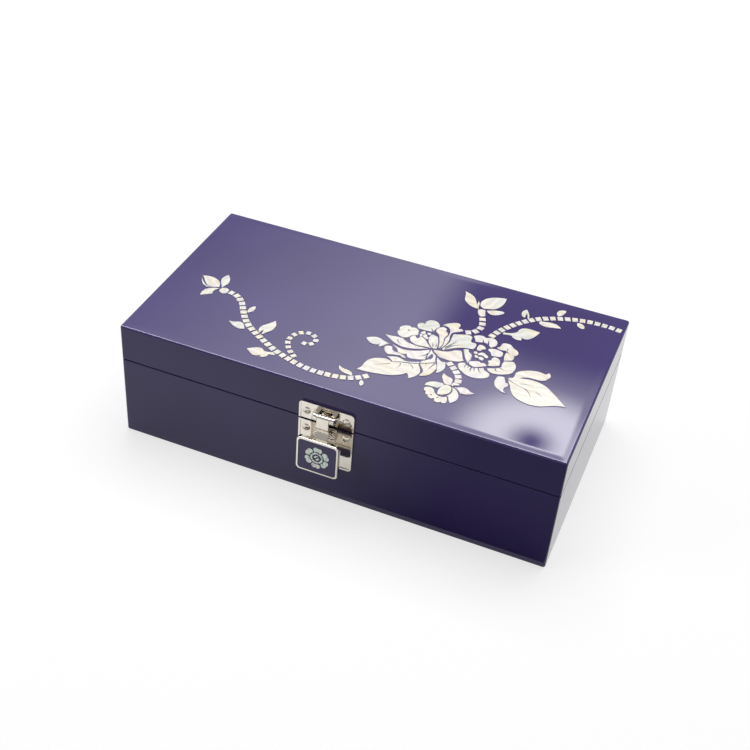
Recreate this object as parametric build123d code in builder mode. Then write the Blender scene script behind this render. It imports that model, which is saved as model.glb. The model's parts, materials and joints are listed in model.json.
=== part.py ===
from build123d import *
import os
from math import atan2, cos, degrees, hypot, radians, sin

os.makedirs("parts", exist_ok=True)

# A lacquered wooden case with a hinged lid, a mother-of-pearl peony scroll on
# the lid, a drop-plate hasp on the front and a velvet-lined, divided inside.
# Millimetres. X runs along the case, Y from front to back, Z up.
# The origin is the middle of the underside.

# ---------------------------------------------------------------- sizes
# Case
case_length = 256.0
case_depth = 136.0
case_height = 75.2
lid_height = 22.9  # from the middle of the seam to the top
seam_gap = 0.6
wall = 8.0
top_thickness = 6.0
bottom_thickness = 4.0
rabbet = 4.0  # width of the step in the walls that takes the bottom panel
felt_thickness = 1.0
felt_margin = 0.5
corner_radius = 1.5
top_edge_radius = 1.2
bottom_edge_radius = 1.0
seam_edge_radius = 0.4

# Lining and dividers
lining = 1.5
lining_drop = 1.5  # from the rim down to the top edge of a wall lining
lining_edge_radius = 0.6
pad_thickness = 4.5
pad_clearance = 0.3
pad_crown = 1.2
pad_edge_draw = 1.5
pad_corner = 3.0
divider = 2.4
divider_drop = 3.0  # from the rim down to the top of the dividers
divider_fit = 0.15
lane_count = 4
end_pocket_length = 59.3  # from the cross divider to the right lining
divider_corner = 1.0

# Stop hinges, let into the rims of the two back boards
hinge_width = 30.0
hinge_inset = 53.0  # from the case's ends to the middles of the hinges
leaf_thickness = 1.0
leaf_depth = 7.0
leaf_clearance = 0.1  # between the two closed leaves
mortise_fit = 0.1
knuckle_radius = 2.0
knuckle_gap = 0.15
hinge_pin_radius = 1.0
pin_clearance = 0.05
barrel_offset = 2.2  # hinge axis behind the back face
opening_angle = 100.0
stop_play = 3.0  # degrees left between the stops when the lid is fully open
stop_thickness = 0.8
stop_length = 1.6
hinge_screw_spacing = 18.0
hinge_screw_radius = 0.9
hinge_screw_head = 1.7
hinge_screw_sink = 0.8
hinge_screw_length = 6.0

# Hasp clasp on the front
clasp_offset = -1.3
plate_width = 32.0
plate_thickness = 1.0
plate_corner = 2.2
plate_margin = 0.25  # from the rims of the case to the plates
plate_rim = 1.1
plate_rim_height = 0.35
upper_plate_height = 11.2
lower_plate_height = 27.4
clasp_screw_spacing = 23.1
clasp_screw_rise = 5.2  # above the upper plate's lower edge
clasp_screw_drop = 5.6  # below the lower plate's upper edge
clasp_screw_radius = 1.1
clasp_screw_head = 2.3
clasp_screw_sink = 0.9
clasp_screw_rim = 0.3  # height of the head's edge over the plate
clasp_screw_dome = 0.9
clasp_screw_length = 6.5
clasp_pin_radius = 1.0
clasp_axis_rise = 6.6  # above the middle of the seam
clasp_axis_out = 4.6  # in front of the front face
strap_width = 6.8
strap_thickness = 1.0
strap_curl = 285.0  # degrees that the strap's end wraps round the pin
strap_bow_in = 1.3  # from the catch bar's axis out to the strap's bow
strap_bow_up = 2.7  # from the catch bar's axis up to the bow
strap_shoulder = 4.2  # from the bow up to the straight upper part
strap_kick = 1.4  # from the catch bar's axis down to the bend behind the drop plate
strap_bends = [1.8, 0.9, 1.6]
ear_width = 3.8
ear_gap = 0.2
ear_wall = 1.1
ear_pin_hold = 2.4
ear_fall = 0.4  # how much nearer to the plate the ear is at the pin's end
ear_tip_ratio = 0.6
catch_width = 12.7
catch_height = 8.0
catch_corner = 1.2
catch_rise = 1.0
catch_edge_radius = 0.45
catch_bar_radius = 1.6
catch_bar_out = 2.8
catch_drop = 5.6  # bar's axis below the lower plate's upper edge
drop_width = 24.6
drop_height = 22.8
drop_thickness = 2.5
drop_back = 9.5  # from the front face to the back of the drop plate
drop_top_below_axis = 10.5
drop_corner = 2.5
drop_edge_radius = 0.5
drop_rim = 1.1
inset_depth = 0.9
inset_thickness = 0.75
tab_length = 11.0  # from the drop plate's top edge down to the strap's end

# Inlay
inlay_side_margin = 1.95  # from the right vine's end to the lid's right edge
inlay_back_margin = 8.3  # from the highest leaf to the lid's back edge
shell_thickness = 0.3
tile_length = 3.1
tile_width = 3.6
emblem_radius = 7.3
emblem_thickness = 0.2

# ---------------------------------------------------------------- levels
seam = case_height - lid_height
base_top = seam - seam_gap / 2
lid_bottom = seam + seam_gap / 2
top_underside = case_height - top_thickness
inner_length = case_length - 2 * wall
inner_depth = case_depth - 2 * wall
floor_level = felt_thickness + bottom_thickness
lining_floor = floor_level + lining
front_face = -case_depth / 2
back_face = case_depth / 2
hinge_axis_y = back_face + barrel_offset
clasp_axis_z = seam + clasp_axis_rise


def publish(piece, name):
    """Label a finished piece and write its file."""
    piece.part.label = name
    export_step(piece.part, f"parts/{name}.step")


# ---------------------------------------------------------------- screws
def screw(shank_radius, head_radius, sink, length, rim, dome):
    """A screw whose countersink ends at z = 0, with its point below."""
    top = rim + dome
    with BuildPart() as fastener:
        with BuildSketch(Plane.XZ):
            with BuildLine():
                Polyline(
                    (head_radius, 0),
                    (shank_radius, -sink),
                    (shank_radius, -length + shank_radius),
                    (0, -length),
                    (0, top),
                )
                if dome > 0:
                    dome_radius = (head_radius**2 + dome**2) / (2 * dome)
                    RadiusArc((0, top), (head_radius, rim), dome_radius)
                    Line((head_radius, rim), (head_radius, 0))
                else:
                    Line((0, 0), (head_radius, 0))
            make_face()
        revolve(axis=Axis.Z)
        with BuildSketch(Plane.XY.offset(top)):
            Rectangle(head_radius * 1.1, head_radius * 0.3)
            Rectangle(head_radius * 0.3, head_radius * 1.1)
        extrude(amount=-head_radius * 0.5, mode=Mode.SUBTRACT)
    return fastener.part


def sink_angle(head_radius, shank_radius, sink):
    """The full angle of a countersink of this depth."""
    return 2 * degrees(atan2(head_radius - shank_radius, sink))


def screw_group(fastener, places):
    """Copies of one screw as a group of separate solids."""
    with BuildPart() as group:
        for place in places:
            with Locations(place):
                add(fastener)
    return group


hinge_screw = screw(
    hinge_screw_radius,
    hinge_screw_head,
    hinge_screw_sink,
    hinge_screw_length,
    rim=0,
    dome=0,
)
clasp_screw = screw(
    clasp_screw_radius,
    clasp_screw_head,
    clasp_screw_sink,
    clasp_screw_length,
    rim=clasp_screw_rim,
    dome=clasp_screw_dome,
)

hinge_sink_angle = sink_angle(hinge_screw_head, hinge_screw_radius, hinge_screw_sink)
clasp_sink_angle = sink_angle(clasp_screw_head, clasp_screw_radius, clasp_screw_sink)

hinge_centres = [hinge_inset - case_length / 2, case_length / 2 - hinge_inset]
base_leaf_top = seam - leaf_clearance / 2
lid_leaf_bottom = seam + leaf_clearance / 2
hinge_screw_y = back_face - leaf_depth / 2
hinge_screw_xs = [
    centre + side * hinge_screw_spacing / 2 for centre in hinge_centres for side in (-1, 1)
]
base_hinge_places = [
    Plane(origin=(x, hinge_screw_y, base_leaf_top), z_dir=(0, 0, 1)) for x in hinge_screw_xs
]
lid_hinge_places = [
    Plane(origin=(x, hinge_screw_y, lid_leaf_bottom), z_dir=(0, 0, -1)) for x in hinge_screw_xs
]

upper_plate_bottom = lid_bottom + plate_margin
lower_plate_top = base_top - plate_margin
upper_screw_z = upper_plate_bottom + clasp_screw_rise
lower_screw_z = lower_plate_top - clasp_screw_drop
plate_front = front_face - plate_thickness
clasp_screw_xs = [clasp_offset + side * clasp_screw_spacing / 2 for side in (-1, 1)]
upper_clasp_places = [
    Plane(origin=(x, plate_front, upper_screw_z), x_dir=(1, 0, 0), z_dir=(0, -1, 0))
    for x in clasp_screw_xs
]
lower_clasp_places = [
    Plane(origin=(x, plate_front, lower_screw_z), x_dir=(1, 0, 0), z_dir=(0, -1, 0))
    for x in clasp_screw_xs
]

publish(screw_group(hinge_screw, base_hinge_places), "hinge_screws_base")
publish(screw_group(hinge_screw, lid_hinge_places), "hinge_screws_lid")
publish(screw_group(clasp_screw, upper_clasp_places), "clasp_screws_lid")
publish(screw_group(clasp_screw, lower_clasp_places), "clasp_screws_base")


# ---------------------------------------------------------------- case boards
def mortise_sketch():
    """Footprints of the hinge leaves in a rim."""
    with BuildSketch() as footprint:
        with Locations(*[(x, back_face - leaf_depth / 2) for x in hinge_centres]):
            Rectangle(hinge_width + 2 * mortise_fit, leaf_depth)
    return footprint.sketch


def carcass(bottom, top, hinge_level, hinge_places, clasp_places):
    """Four walls in one ring, with hinge mortises and screw holes."""
    with BuildPart() as ring:
        with BuildSketch(Plane.XY.offset(bottom)):
            RectangleRounded(case_length, case_depth, corner_radius)
            Rectangle(inner_length, inner_depth, mode=Mode.SUBTRACT)
        extrude(amount=top - bottom)
        with Locations(*hinge_places):
            Cylinder(
                hinge_screw_radius,
                hinge_screw_length,
                align=(Align.CENTER, Align.CENTER, Align.MAX),
                mode=Mode.SUBTRACT,
            )
        with Locations(*clasp_places):
            Cylinder(
                clasp_screw_radius,
                clasp_screw_length,
                align=(Align.CENTER, Align.CENTER, Align.MAX),
                mode=Mode.SUBTRACT,
            )
        with BuildSketch(Plane.XY.offset(hinge_level)):
            add(mortise_sketch())
        extrude(amount=leaf_thickness, both=True, mode=Mode.SUBTRACT)
    return ring


def outer_edges(ring, level):
    """The outer edges of a ring at one height, without the mortises' own."""
    return ring.edges().filter_by_position(Axis.Z, level, level).filter_by(
        lambda edge: abs((edge @ 0.5).X) > case_length / 2 - corner_radius
        or abs((edge @ 0.5).Y) > case_depth / 2 - corner_radius / 2
    )


def cut_boards(ring, body):
    """Cut a ring of walls at the mitred corners and write the four boards."""
    half_length = case_length / 2
    half_depth = case_depth / 2
    corners = {
        "front": ((-1, -1), (1, -1)),
        "right": ((1, -1), (1, 1)),
        "back": ((1, 1), (-1, 1)),
        "left": ((-1, 1), (-1, -1)),
    }
    for side, ends in corners.items():
        outer = [(x * half_length, y * half_depth) for x, y in ends]
        inner = [(x * (half_length - wall), y * (half_depth - wall)) for x, y in ends]
        with BuildPart() as board:
            add(ring.part)
            with BuildSketch():
                with BuildLine():
                    Polyline(outer[0], outer[1], inner[1], inner[0], close=True)
                make_face()
            extrude(amount=case_height, mode=Mode.INTERSECT)
        publish(board, f"{body}_{side}_board")


base_ring = carcass(0, base_top, base_leaf_top, base_hinge_places, lower_clasp_places)
with BuildPart() as base_walls:
    add(base_ring.part)
    with BuildSketch():
        Rectangle(inner_length + 2 * rabbet, inner_depth + 2 * rabbet)
    extrude(amount=floor_level, mode=Mode.SUBTRACT)
    fillet(outer_edges(base_walls, 0), bottom_edge_radius)
    fillet(outer_edges(base_walls, base_top), seam_edge_radius)
cut_boards(base_walls, "base")

lid_ring = carcass(lid_bottom, top_underside, lid_leaf_bottom, lid_hinge_places, upper_clasp_places)
with BuildPart() as lid_walls:
    add(lid_ring.part)
    fillet(outer_edges(lid_walls, lid_bottom), seam_edge_radius)
cut_boards(lid_walls, "lid")

with BuildPart() as lid_top_panel:
    with BuildSketch(Plane.XY.offset(top_underside)):
        RectangleRounded(case_length, case_depth, corner_radius)
    extrude(amount=top_thickness)
    fillet(lid_top_panel.faces().sort_by(Axis.Z)[-1].edges(), top_edge_radius)
publish(lid_top_panel, "lid_top_panel")

with BuildPart() as base_bottom_panel:
    with BuildSketch(Plane.XY.offset(felt_thickness)):
        Rectangle(inner_length + 2 * rabbet, inner_depth + 2 * rabbet)
    extrude(amount=bottom_thickness)
publish(base_bottom_panel, "base_bottom_panel")

with BuildPart() as base_felt_sheet:
    with BuildSketch():
        Rectangle(
            inner_length + 2 * (rabbet - felt_margin),
            inner_depth + 2 * (rabbet - felt_margin),
        )
    extrude(amount=felt_thickness)
publish(base_felt_sheet, "base_felt_sheet")


# ---------------------------------------------------------------- lining
def wall_linings(body, bottom, top):
    """Four velvet-covered strips round the inside of a ring of walls."""
    for side in (-1, 1):
        name = "front" if side < 0 else "back"
        with BuildPart() as long_strip:
            with BuildSketch(Plane.XY.offset(bottom)):
                with Locations((0, side * (inner_depth - lining) / 2)):
                    Rectangle(inner_length, lining)
            extrude(amount=top - bottom)
            rim = long_strip.faces().sort_by(Axis.Z)[-1 if body == "base" else 0]
            fillet(rim.edges().filter_by(Axis.X), lining_edge_radius)
        publish(long_strip, f"{body}_lining_{name}")
        name = "left" if side < 0 else "right"
        with BuildPart() as short_strip:
            with BuildSketch(Plane.XY.offset(bottom)):
                with Locations((side * (inner_length - lining) / 2, 0)):
                    Rectangle(lining, inner_depth - 2 * lining)
            extrude(amount=top - bottom)
            rim = short_strip.faces().sort_by(Axis.Z)[-1 if body == "base" else 0]
            fillet(rim.edges().filter_by(Axis.Y), lining_edge_radius)
        publish(short_strip, f"{body}_lining_{name}")


wall_linings("base", lining_floor, base_top - lining_drop)
wall_linings("lid", lid_bottom + lining_drop, top_underside)

with BuildPart() as base_floor_lining:
    with BuildSketch(Plane.XY.offset(floor_level)):
        Rectangle(inner_length, inner_depth)
    extrude(amount=lining)
publish(base_floor_lining, "base_floor_lining")

pad_length = inner_length - 2 * lining - 2 * pad_clearance
pad_depth = inner_depth - 2 * lining - 2 * pad_clearance
pad_sections = [
    (0.0, pad_edge_draw),
    (0.35 * pad_thickness, 0.0),
    (pad_thickness - pad_crown, pad_edge_draw),
    (pad_thickness - 0.3 * pad_crown, pad_edge_draw + 4 * pad_crown),
    (pad_thickness, pad_edge_draw + 12 * pad_crown),
]
with BuildPart() as lid_pad:
    for depth, draw in pad_sections:
        with BuildSketch(Plane.XY.offset(top_underside - depth)):
            RectangleRounded(pad_length - 2 * draw, pad_depth - 2 * draw, pad_corner)
    loft(ruled=True)
publish(lid_pad, "lid_pad")

# ---------------------------------------------------------------- dividers
# Boards that cross each other with halving slots, like an egg crate.
divider_top = base_top - divider_drop
divider_height = divider_top - lining_floor
room_length = inner_length - 2 * lining
room_depth = inner_depth - 2 * lining
slot_width = divider + 2 * divider_fit
slot_height = divider_height / 2
lane_pitch = room_depth / lane_count
lane_ys = [lane_pitch * (i + 1) - room_depth / 2 for i in range(lane_count - 1)]
cross_divider_x = room_length / 2 - end_pocket_length - divider / 2

with BuildPart() as divider_cross:
    with BuildSketch(Plane.YZ.offset(cross_divider_x - divider / 2)):
        with Locations((0, lining_floor + divider_height / 2)):
            Rectangle(room_depth - 2 * divider_fit, divider_height)
        with Locations(*[(y, lining_floor) for y in lane_ys]):
            Rectangle(
                slot_width,
                slot_height,
                align=(Align.CENTER, Align.MIN),
                mode=Mode.SUBTRACT,
            )
    extrude(amount=divider)
publish(divider_cross, "divider_cross")

for number, lane_y in enumerate(lane_ys, 1):
    with BuildPart() as divider_long:
        with BuildSketch(Plane.XZ.offset(-lane_y - divider / 2)) as side_view:
            with Locations((0, lining_floor + divider_height / 2)):
                Rectangle(room_length - 2 * divider_fit, divider_height)
            fillet(side_view.vertices().group_by(Axis.Y)[-1], divider_corner)
            with Locations((cross_divider_x, divider_top)):
                Rectangle(
                    slot_width,
                    slot_height,
                    align=(Align.CENTER, Align.MAX),
                    mode=Mode.SUBTRACT,
                )
        extrude(amount=divider)
    publish(divider_long, f"divider_long_{number}")

# ---------------------------------------------------------------- hinges
middle_knuckle = hinge_width / 3
end_knuckle = (hinge_width - middle_knuckle) / 2


def hinge_leaf(centre, leaf_level, up, knuckles, places):
    """One leaf: its plate, its knuckles round the pin and its stop.

    up is 1 for the lid's leaf and -1 for the base's. knuckles are pairs of
    the middle and the width of each knuckle along the pin.
    """
    section = Plane(origin=(centre, hinge_axis_y, seam), x_dir=(0, 1, 0), z_dir=(1, 0, 0))
    stop_direction = up * (opening_angle + stop_play) / 2 + up * degrees(
        atan2(stop_thickness / 2, knuckle_radius + knuckle_gap)
    )
    with BuildPart() as leaf:
        with BuildSketch(Plane.XY.offset(leaf_level)):
            with Locations((centre, back_face - leaf_depth / 2)):
                Rectangle(hinge_width, leaf_depth)
        extrude(amount=up * leaf_thickness)
        for middle, width in knuckles:
            with BuildSketch(section.offset(middle - width / 2)):
                Circle(knuckle_radius)
                with Locations((-barrel_offset, up * (leaf_thickness + leaf_clearance) / 2)):
                    Rectangle(
                        barrel_offset,
                        leaf_thickness,
                        align=(Align.MIN, Align.CENTER),
                    )
                with PolarLocations(knuckle_radius - knuckle_gap, 1, stop_direction):
                    Rectangle(
                        2 * knuckle_gap + stop_length,
                        stop_thickness,
                        align=(Align.MIN, Align.CENTER),
                    )
            extrude(amount=width)
        with BuildSketch(section.offset(-hinge_width / 2)):
            with PolarLocations(knuckle_radius + knuckle_gap, 1, stop_direction):
                Rectangle(stop_length, stop_thickness, align=(Align.MIN, Align.CENTER))
        extrude(amount=hinge_width)
        with BuildSketch(section.offset(-hinge_width / 2)):
            Circle(hinge_pin_radius + pin_clearance)
        extrude(amount=hinge_width, mode=Mode.SUBTRACT)
        with Locations(*places):
            CounterSinkHole(
                hinge_screw_radius, hinge_screw_head, leaf_thickness * 2, hinge_sink_angle
            )
    return leaf


for index, side in enumerate(("left", "right")):
    centre = hinge_centres[index]
    pair = slice(2 * index, 2 * index + 2)
    end_middle = (middle_knuckle + end_knuckle) / 2
    base_knuckles = [
        (-end_middle - knuckle_gap / 2, end_knuckle - knuckle_gap),
        (end_middle + knuckle_gap / 2, end_knuckle - knuckle_gap),
    ]
    lid_knuckles = [(0, middle_knuckle)]
    base_leaf = hinge_leaf(centre, base_leaf_top, -1, base_knuckles, base_hinge_places[pair])
    lid_leaf = hinge_leaf(centre, lid_leaf_bottom, 1, lid_knuckles, lid_hinge_places[pair])
    publish(base_leaf, f"hinge_{side}_base_leaf")
    publish(lid_leaf, f"hinge_{side}_lid_leaf")
    with BuildPart() as hinge_pin:
        with BuildSketch(Plane.YZ.offset(centre - hinge_width / 2)):
            with Locations((hinge_axis_y, seam)):
                Circle(hinge_pin_radius)
        extrude(amount=hinge_width)
    publish(hinge_pin, f"hinge_{side}_pin")

# ---------------------------------------------------------------- clasp
# Two planes at the clasp: one in the front face, seen from the front, and one
# through its middle, with its first axis pointing out of the front face.
clasp_face = Plane(origin=(clasp_offset, front_face, 0), x_dir=(1, 0, 0), z_dir=(0, -1, 0))
clasp_side = Plane(origin=(clasp_offset, front_face, 0), x_dir=(0, -1, 0), z_dir=(-1, 0, 0))
rim_face = clasp_face.offset(plate_thickness)


def clasp_plate(bottom, height, rounded, open_edge):
    """A sheet plate with a raised rim; open_edge is the edge with no rim."""
    with BuildPart() as plate:
        with BuildSketch(clasp_face) as outline:
            with Locations((0, bottom + height / 2)):
                Rectangle(plate_width, height)
            fillet(outline.vertices().group_by(Axis.Y)[rounded], plate_corner)
        extrude(amount=plate_thickness)
        with BuildSketch(rim_face) as rim:
            with Locations((0, bottom + height / 2)):
                Rectangle(plate_width, height)
            fillet(rim.vertices().group_by(Axis.Y)[rounded], plate_corner)
            with Locations((0, bottom + height / 2 + open_edge * plate_rim)):
                Rectangle(
                    plate_width - 2 * plate_rim,
                    height - 2 * plate_rim + 2 * abs(open_edge) * plate_rim,
                    mode=Mode.SUBTRACT,
                )
        extrude(amount=plate_rim_height)
    return plate


def ear_sketch(x, half_height, out):
    """A D-shaped section of an ear, rooted in the upper plate."""
    low = clasp_axis_z - half_height
    high = clasp_axis_z + half_height
    root = plate_thickness / 2
    with BuildSketch(clasp_side.offset(-x)) as section:
        with BuildLine():
            Polyline((out, high), (root, high), (root, low), (out, low))
            ThreePointArc((out, low), (out + half_height, clasp_axis_z), (out, high))
        make_face()
    return section.sketch


ear_radius = clasp_pin_radius + ear_wall
ear_inner = strap_width / 2 + ear_gap
ear_shoulder = ear_inner + ear_pin_hold
ear_outer = ear_inner + ear_width
upper_plate = clasp_plate(upper_plate_bottom, upper_plate_height, -1, -1)
with BuildPart() as clasp_upper_plate:
    add(upper_plate.part)
    for side in (-1, 1):
        sections = [
            ear_sketch(side * ear_inner, ear_radius, clasp_axis_out),
            ear_sketch(side * ear_shoulder, ear_radius, clasp_axis_out - ear_fall),
            ear_sketch(side * ear_outer, ear_radius * ear_tip_ratio, plate_thickness + ear_fall),
        ]
        add(loft(sections[:2], mode=Mode.PRIVATE))
        add(loft(sections[1:], mode=Mode.PRIVATE))
    with BuildSketch(clasp_side.offset(-ear_shoulder)):
        with Locations((clasp_axis_out, clasp_axis_z)):
            Circle(clasp_pin_radius)
    extrude(amount=2 * ear_shoulder, mode=Mode.SUBTRACT)
    with Locations(*upper_clasp_places):
        CounterSinkHole(
            clasp_screw_radius, clasp_screw_head, plate_thickness * 2, clasp_sink_angle
        )
publish(clasp_upper_plate, "clasp_upper_plate")

with BuildPart() as clasp_pin:
    with BuildSketch(clasp_side.offset(-ear_shoulder)):
        with Locations((clasp_axis_out, clasp_axis_z)):
            Circle(clasp_pin_radius)
    extrude(amount=2 * ear_shoulder)
publish(clasp_pin, "clasp_pin")

lower_plate_bottom = lower_plate_top - lower_plate_height
catch_z = lower_plate_top - catch_drop
lower_plate = clasp_plate(lower_plate_bottom, lower_plate_height, 0, 0)
with BuildPart() as clasp_lower_plate:
    add(lower_plate.part)
    with BuildSketch(rim_face):
        with Locations((0, catch_z)):
            RectangleRounded(catch_width, catch_height, catch_corner)
    extrude(amount=catch_rise)
    fillet(clasp_lower_plate.faces().sort_by(Axis.Y)[0].edges(), catch_edge_radius)
    with BuildSketch(clasp_side.offset(-catch_width / 2 + catch_bar_radius)):
        with Locations((catch_bar_out, catch_z)):
            Circle(catch_bar_radius)
    extrude(amount=catch_width - 2 * catch_bar_radius)
    with Locations(*[
        clasp_side.offset(side * (catch_width / 2 - catch_bar_radius))
        * Pos(catch_bar_out, catch_z, 0)
        for side in (-1, 1)
    ]):
        Sphere(catch_bar_radius)
    with Locations(*lower_clasp_places):
        CounterSinkHole(
            clasp_screw_radius, clasp_screw_head, plate_thickness * 2, clasp_sink_angle
        )
publish(clasp_lower_plate, "clasp_lower_plate")

# The hasp: its strap curls round the pin, bows in over the catch bar and
# comes forward to lie flat against the back of the drop plate.
curl_radius = clasp_pin_radius + pin_clearance + strap_thickness / 2
strap_front = clasp_axis_out + curl_radius
drop_top = clasp_axis_z - drop_top_below_axis
tab_out = drop_back - strap_thickness / 2
bow_out = catch_bar_out + strap_bow_in
bow_z = catch_z + strap_bow_up
with BuildPart() as hasp_strap:
    with BuildSketch(clasp_side):
        with BuildLine():
            CenterArc((clasp_axis_out, clasp_axis_z), curl_radius, 0, strap_curl)
            FilletPolyline(
                (strap_front, clasp_axis_z),
                (strap_front, bow_z + strap_shoulder),
                (bow_out, bow_z),
                (tab_out, catch_z - strap_kick),
                (tab_out, drop_top - tab_length),
                radius=strap_bends,
            )
        trace(line_width=strap_thickness)
    extrude(amount=strap_width / 2, both=True)
publish(hasp_strap, "hasp_strap")

drop_z = drop_top - drop_height / 2
drop_front = drop_back + drop_thickness
with BuildPart() as drop_plate:
    with BuildSketch(clasp_face.offset(drop_back)):
        with Locations((0, drop_z)):
            RectangleRounded(drop_width, drop_height, drop_corner)
    extrude(amount=drop_thickness)
    fillet(drop_plate.faces().sort_by(Axis.Y)[0].edges(), drop_edge_radius)
    with BuildSketch(clasp_face.offset(drop_front)):
        with Locations((0, drop_z)):
            RectangleRounded(
                drop_width - 2 * drop_rim,
                drop_height - 2 * drop_rim,
                drop_corner - drop_rim / 2,
            )
    extrude(amount=-inset_depth, mode=Mode.SUBTRACT)
publish(drop_plate, "drop_plate")

with BuildPart() as drop_plate_inset:
    with BuildSketch(clasp_face.offset(drop_front - inset_depth)):
        with Locations((0, drop_z)):
            RectangleRounded(
                drop_width - 2 * drop_rim,
                drop_height - 2 * drop_rim,
                drop_corner - drop_rim / 2,
            )
    extrude(amount=inset_thickness)
publish(drop_plate_inset, "drop_plate_inset")

# ---------------------------------------------------------------- inlay
# Shell is cut along outlines drawn in millimetres from the middle of the lid.
# An outline is a start point and strokes. A stroke of one point is a straight
# line, of two points an arc, and of more points a smooth curve.


def cut_outline(start, strokes, scale):
    """The closed wire of one outline, scaled in both directions."""
    with BuildLine() as wire:
        here = start
        for stroke in strokes:
            path = [(x * scale[0], y * scale[1]) for x, y in [here, *stroke]]
            if len(path) == 2:
                Line(*path)
            elif len(path) == 3:
                ThreePointArc(*path)
            else:
                Spline(*path)
            here = stroke[-1]
    return wire.line


def shell_pieces(outlines, slits, plane, scale, thickness):
    """A group of flat shell pieces, with veins cut through them."""
    with BuildPart() as pieces:
        with BuildSketch(plane):
            for start, *strokes in outlines:
                add(make_face(cut_outline(start, strokes, scale).edges(), mode=Mode.PRIVATE))
            for root, middle, tip, width in slits:
                add(
                    make_face(vein(root, middle, tip, width, scale).edges(), mode=Mode.PRIVATE),
                    mode=Mode.SUBTRACT,
                )
        extrude(amount=thickness)
    return pieces


def vein(root, middle, tip, width, scale):
    """The outline of a slit that is as wide as width at its root and ends in a point."""
    heading = atan2(tip[1] - root[1], tip[0] - root[0])
    across = (-sin(heading) * width / 2, cos(heading) * width / 2)
    left = [(root[0] + across[0], root[1] + across[1])]
    left.append((middle[0] + across[0] * 0.7, middle[1] + across[1] * 0.7))
    right = [(middle[0] - across[0] * 0.7, middle[1] - across[1] * 0.7)]
    right.append((root[0] - across[0], root[1] - across[1]))
    return cut_outline(left[0], [[left[1], tip], right, [left[0]]], scale)


def vine_tiles(route, count, ratio):
    """Outlines of tiles at even steps along a vine, at a ratio of the full tile."""
    half_length = ratio * tile_length / 2
    half_width = ratio * tile_width / 2
    with BuildLine() as vine:
        Spline(*route)
    outlines = []
    for i in range(count):
        place = vine.line @ (i / (count - 1))
        along = vine.line % (i / (count - 1))
        corners = [
            (
                place.X + u * half_length * along.X - v * half_width * along.Y,
                place.Y + u * half_length * along.Y + v * half_width * along.X,
            )
            for u, v in ((-1, -1), (1, -1), (1, 1), (-1, 1))
        ]
        outlines.append((corners[-1], *[[corner] for corner in corners]))
    return outlines


left_vine = [
    (-87, -11.5), (-79.5, -15.3), (-74.7, -21.7), (-70, -29), (-64.3, -35.3), (-53.8, -42.5),
    (-42.5, -48.9), (-30.5, -53.5), (-18, -56.3), (-5.8, -56), (2.5, -54.2), (11.6, -48.2),
]
curl_vine = [
    (-30.2, -49.4), (-35.3, -44.6), (-38.7, -37.5), (-36.7, -30), (-30.8, -27), (-25.4, -30.2),
    (-25.7, -34.9), (-29.8, -36.6),
]
right_vine = [
    (61.4, 17.3), (64.3, 24.7), (71.2, 35.5), (80, 44.5), (91.3, 50.7), (103.7, 54.7),
    (116.5, 55.6), (124.5, 54.8),
]
top_bud_vine = [(48.3, 14.2), (51.7, 17.3), (53.2, 21.4), (52.9, 25.5), (51.6, 29.8)]
low_bud_vine = [(48.5, -17.7), (51.1, -20.1), (54, -23.1), (56.3, -26.6), (57.4, -30)]

# Leaves along the left vine, and the two that end it
leaves_left = [
    ((-69, -17.3), [(-67.8, -20.6), (-70.3, -24.6)], [(-71.1, -21.2), (-69, -17.3)]),
    (
        (-76, -36),
        [(-72.6, -35.7), (-70.5, -34.8), (-68.1, -34.9)],
        [(-66.6, -36.6), (-64.9, -39.4)],
        [(-67, -40.3), (-71.5, -39.6), (-76, -36)],
    ),
    (
        (-52.7, -24.8),
        [(-50.6, -28.3), (-50.4, -33), (-52.3, -36.7), (-54.2, -39.8)],
        [(-54.6, -37.8), (-54.8, -35.4)],
        [(-55.7, -37), (-55.9, -38.8)],
        [(-57.1, -37.4), (-57.8, -34.5), (-56.4, -30.9), (-52.7, -24.8)],
    ),
    (
        (-55.8, -54.9),
        [(-52.5, -52.3), (-48.9, -51), (-46.6, -52.7)],
        [(-44.4, -52.6), (-41.6, -51.6)],
        [(-40.3, -52.3), (-39.5, -53.5)],
        [(-41.3, -54), (-42.9, -54.2)],
        [(-43.3, -56.6), (-45.4, -58.3)],
        [(-46.4, -57.6), (-46.9, -56.9)],
        [(-49.6, -58.5), (-53, -57), (-55.8, -54.9)],
    ),
    (
        (-4.6, -45.4),
        [(-1.8, -47.3), (2.4, -47.9), (4.7, -51)],
        [(1.2, -50.9), (-3.2, -49), (-4.6, -45.4)],
    ),
    ((10.7, -52.2), [(12.7, -53.9), (12.3, -57.1)], [(10.6, -55.2), (10.7, -52.2)]),
]
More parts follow.
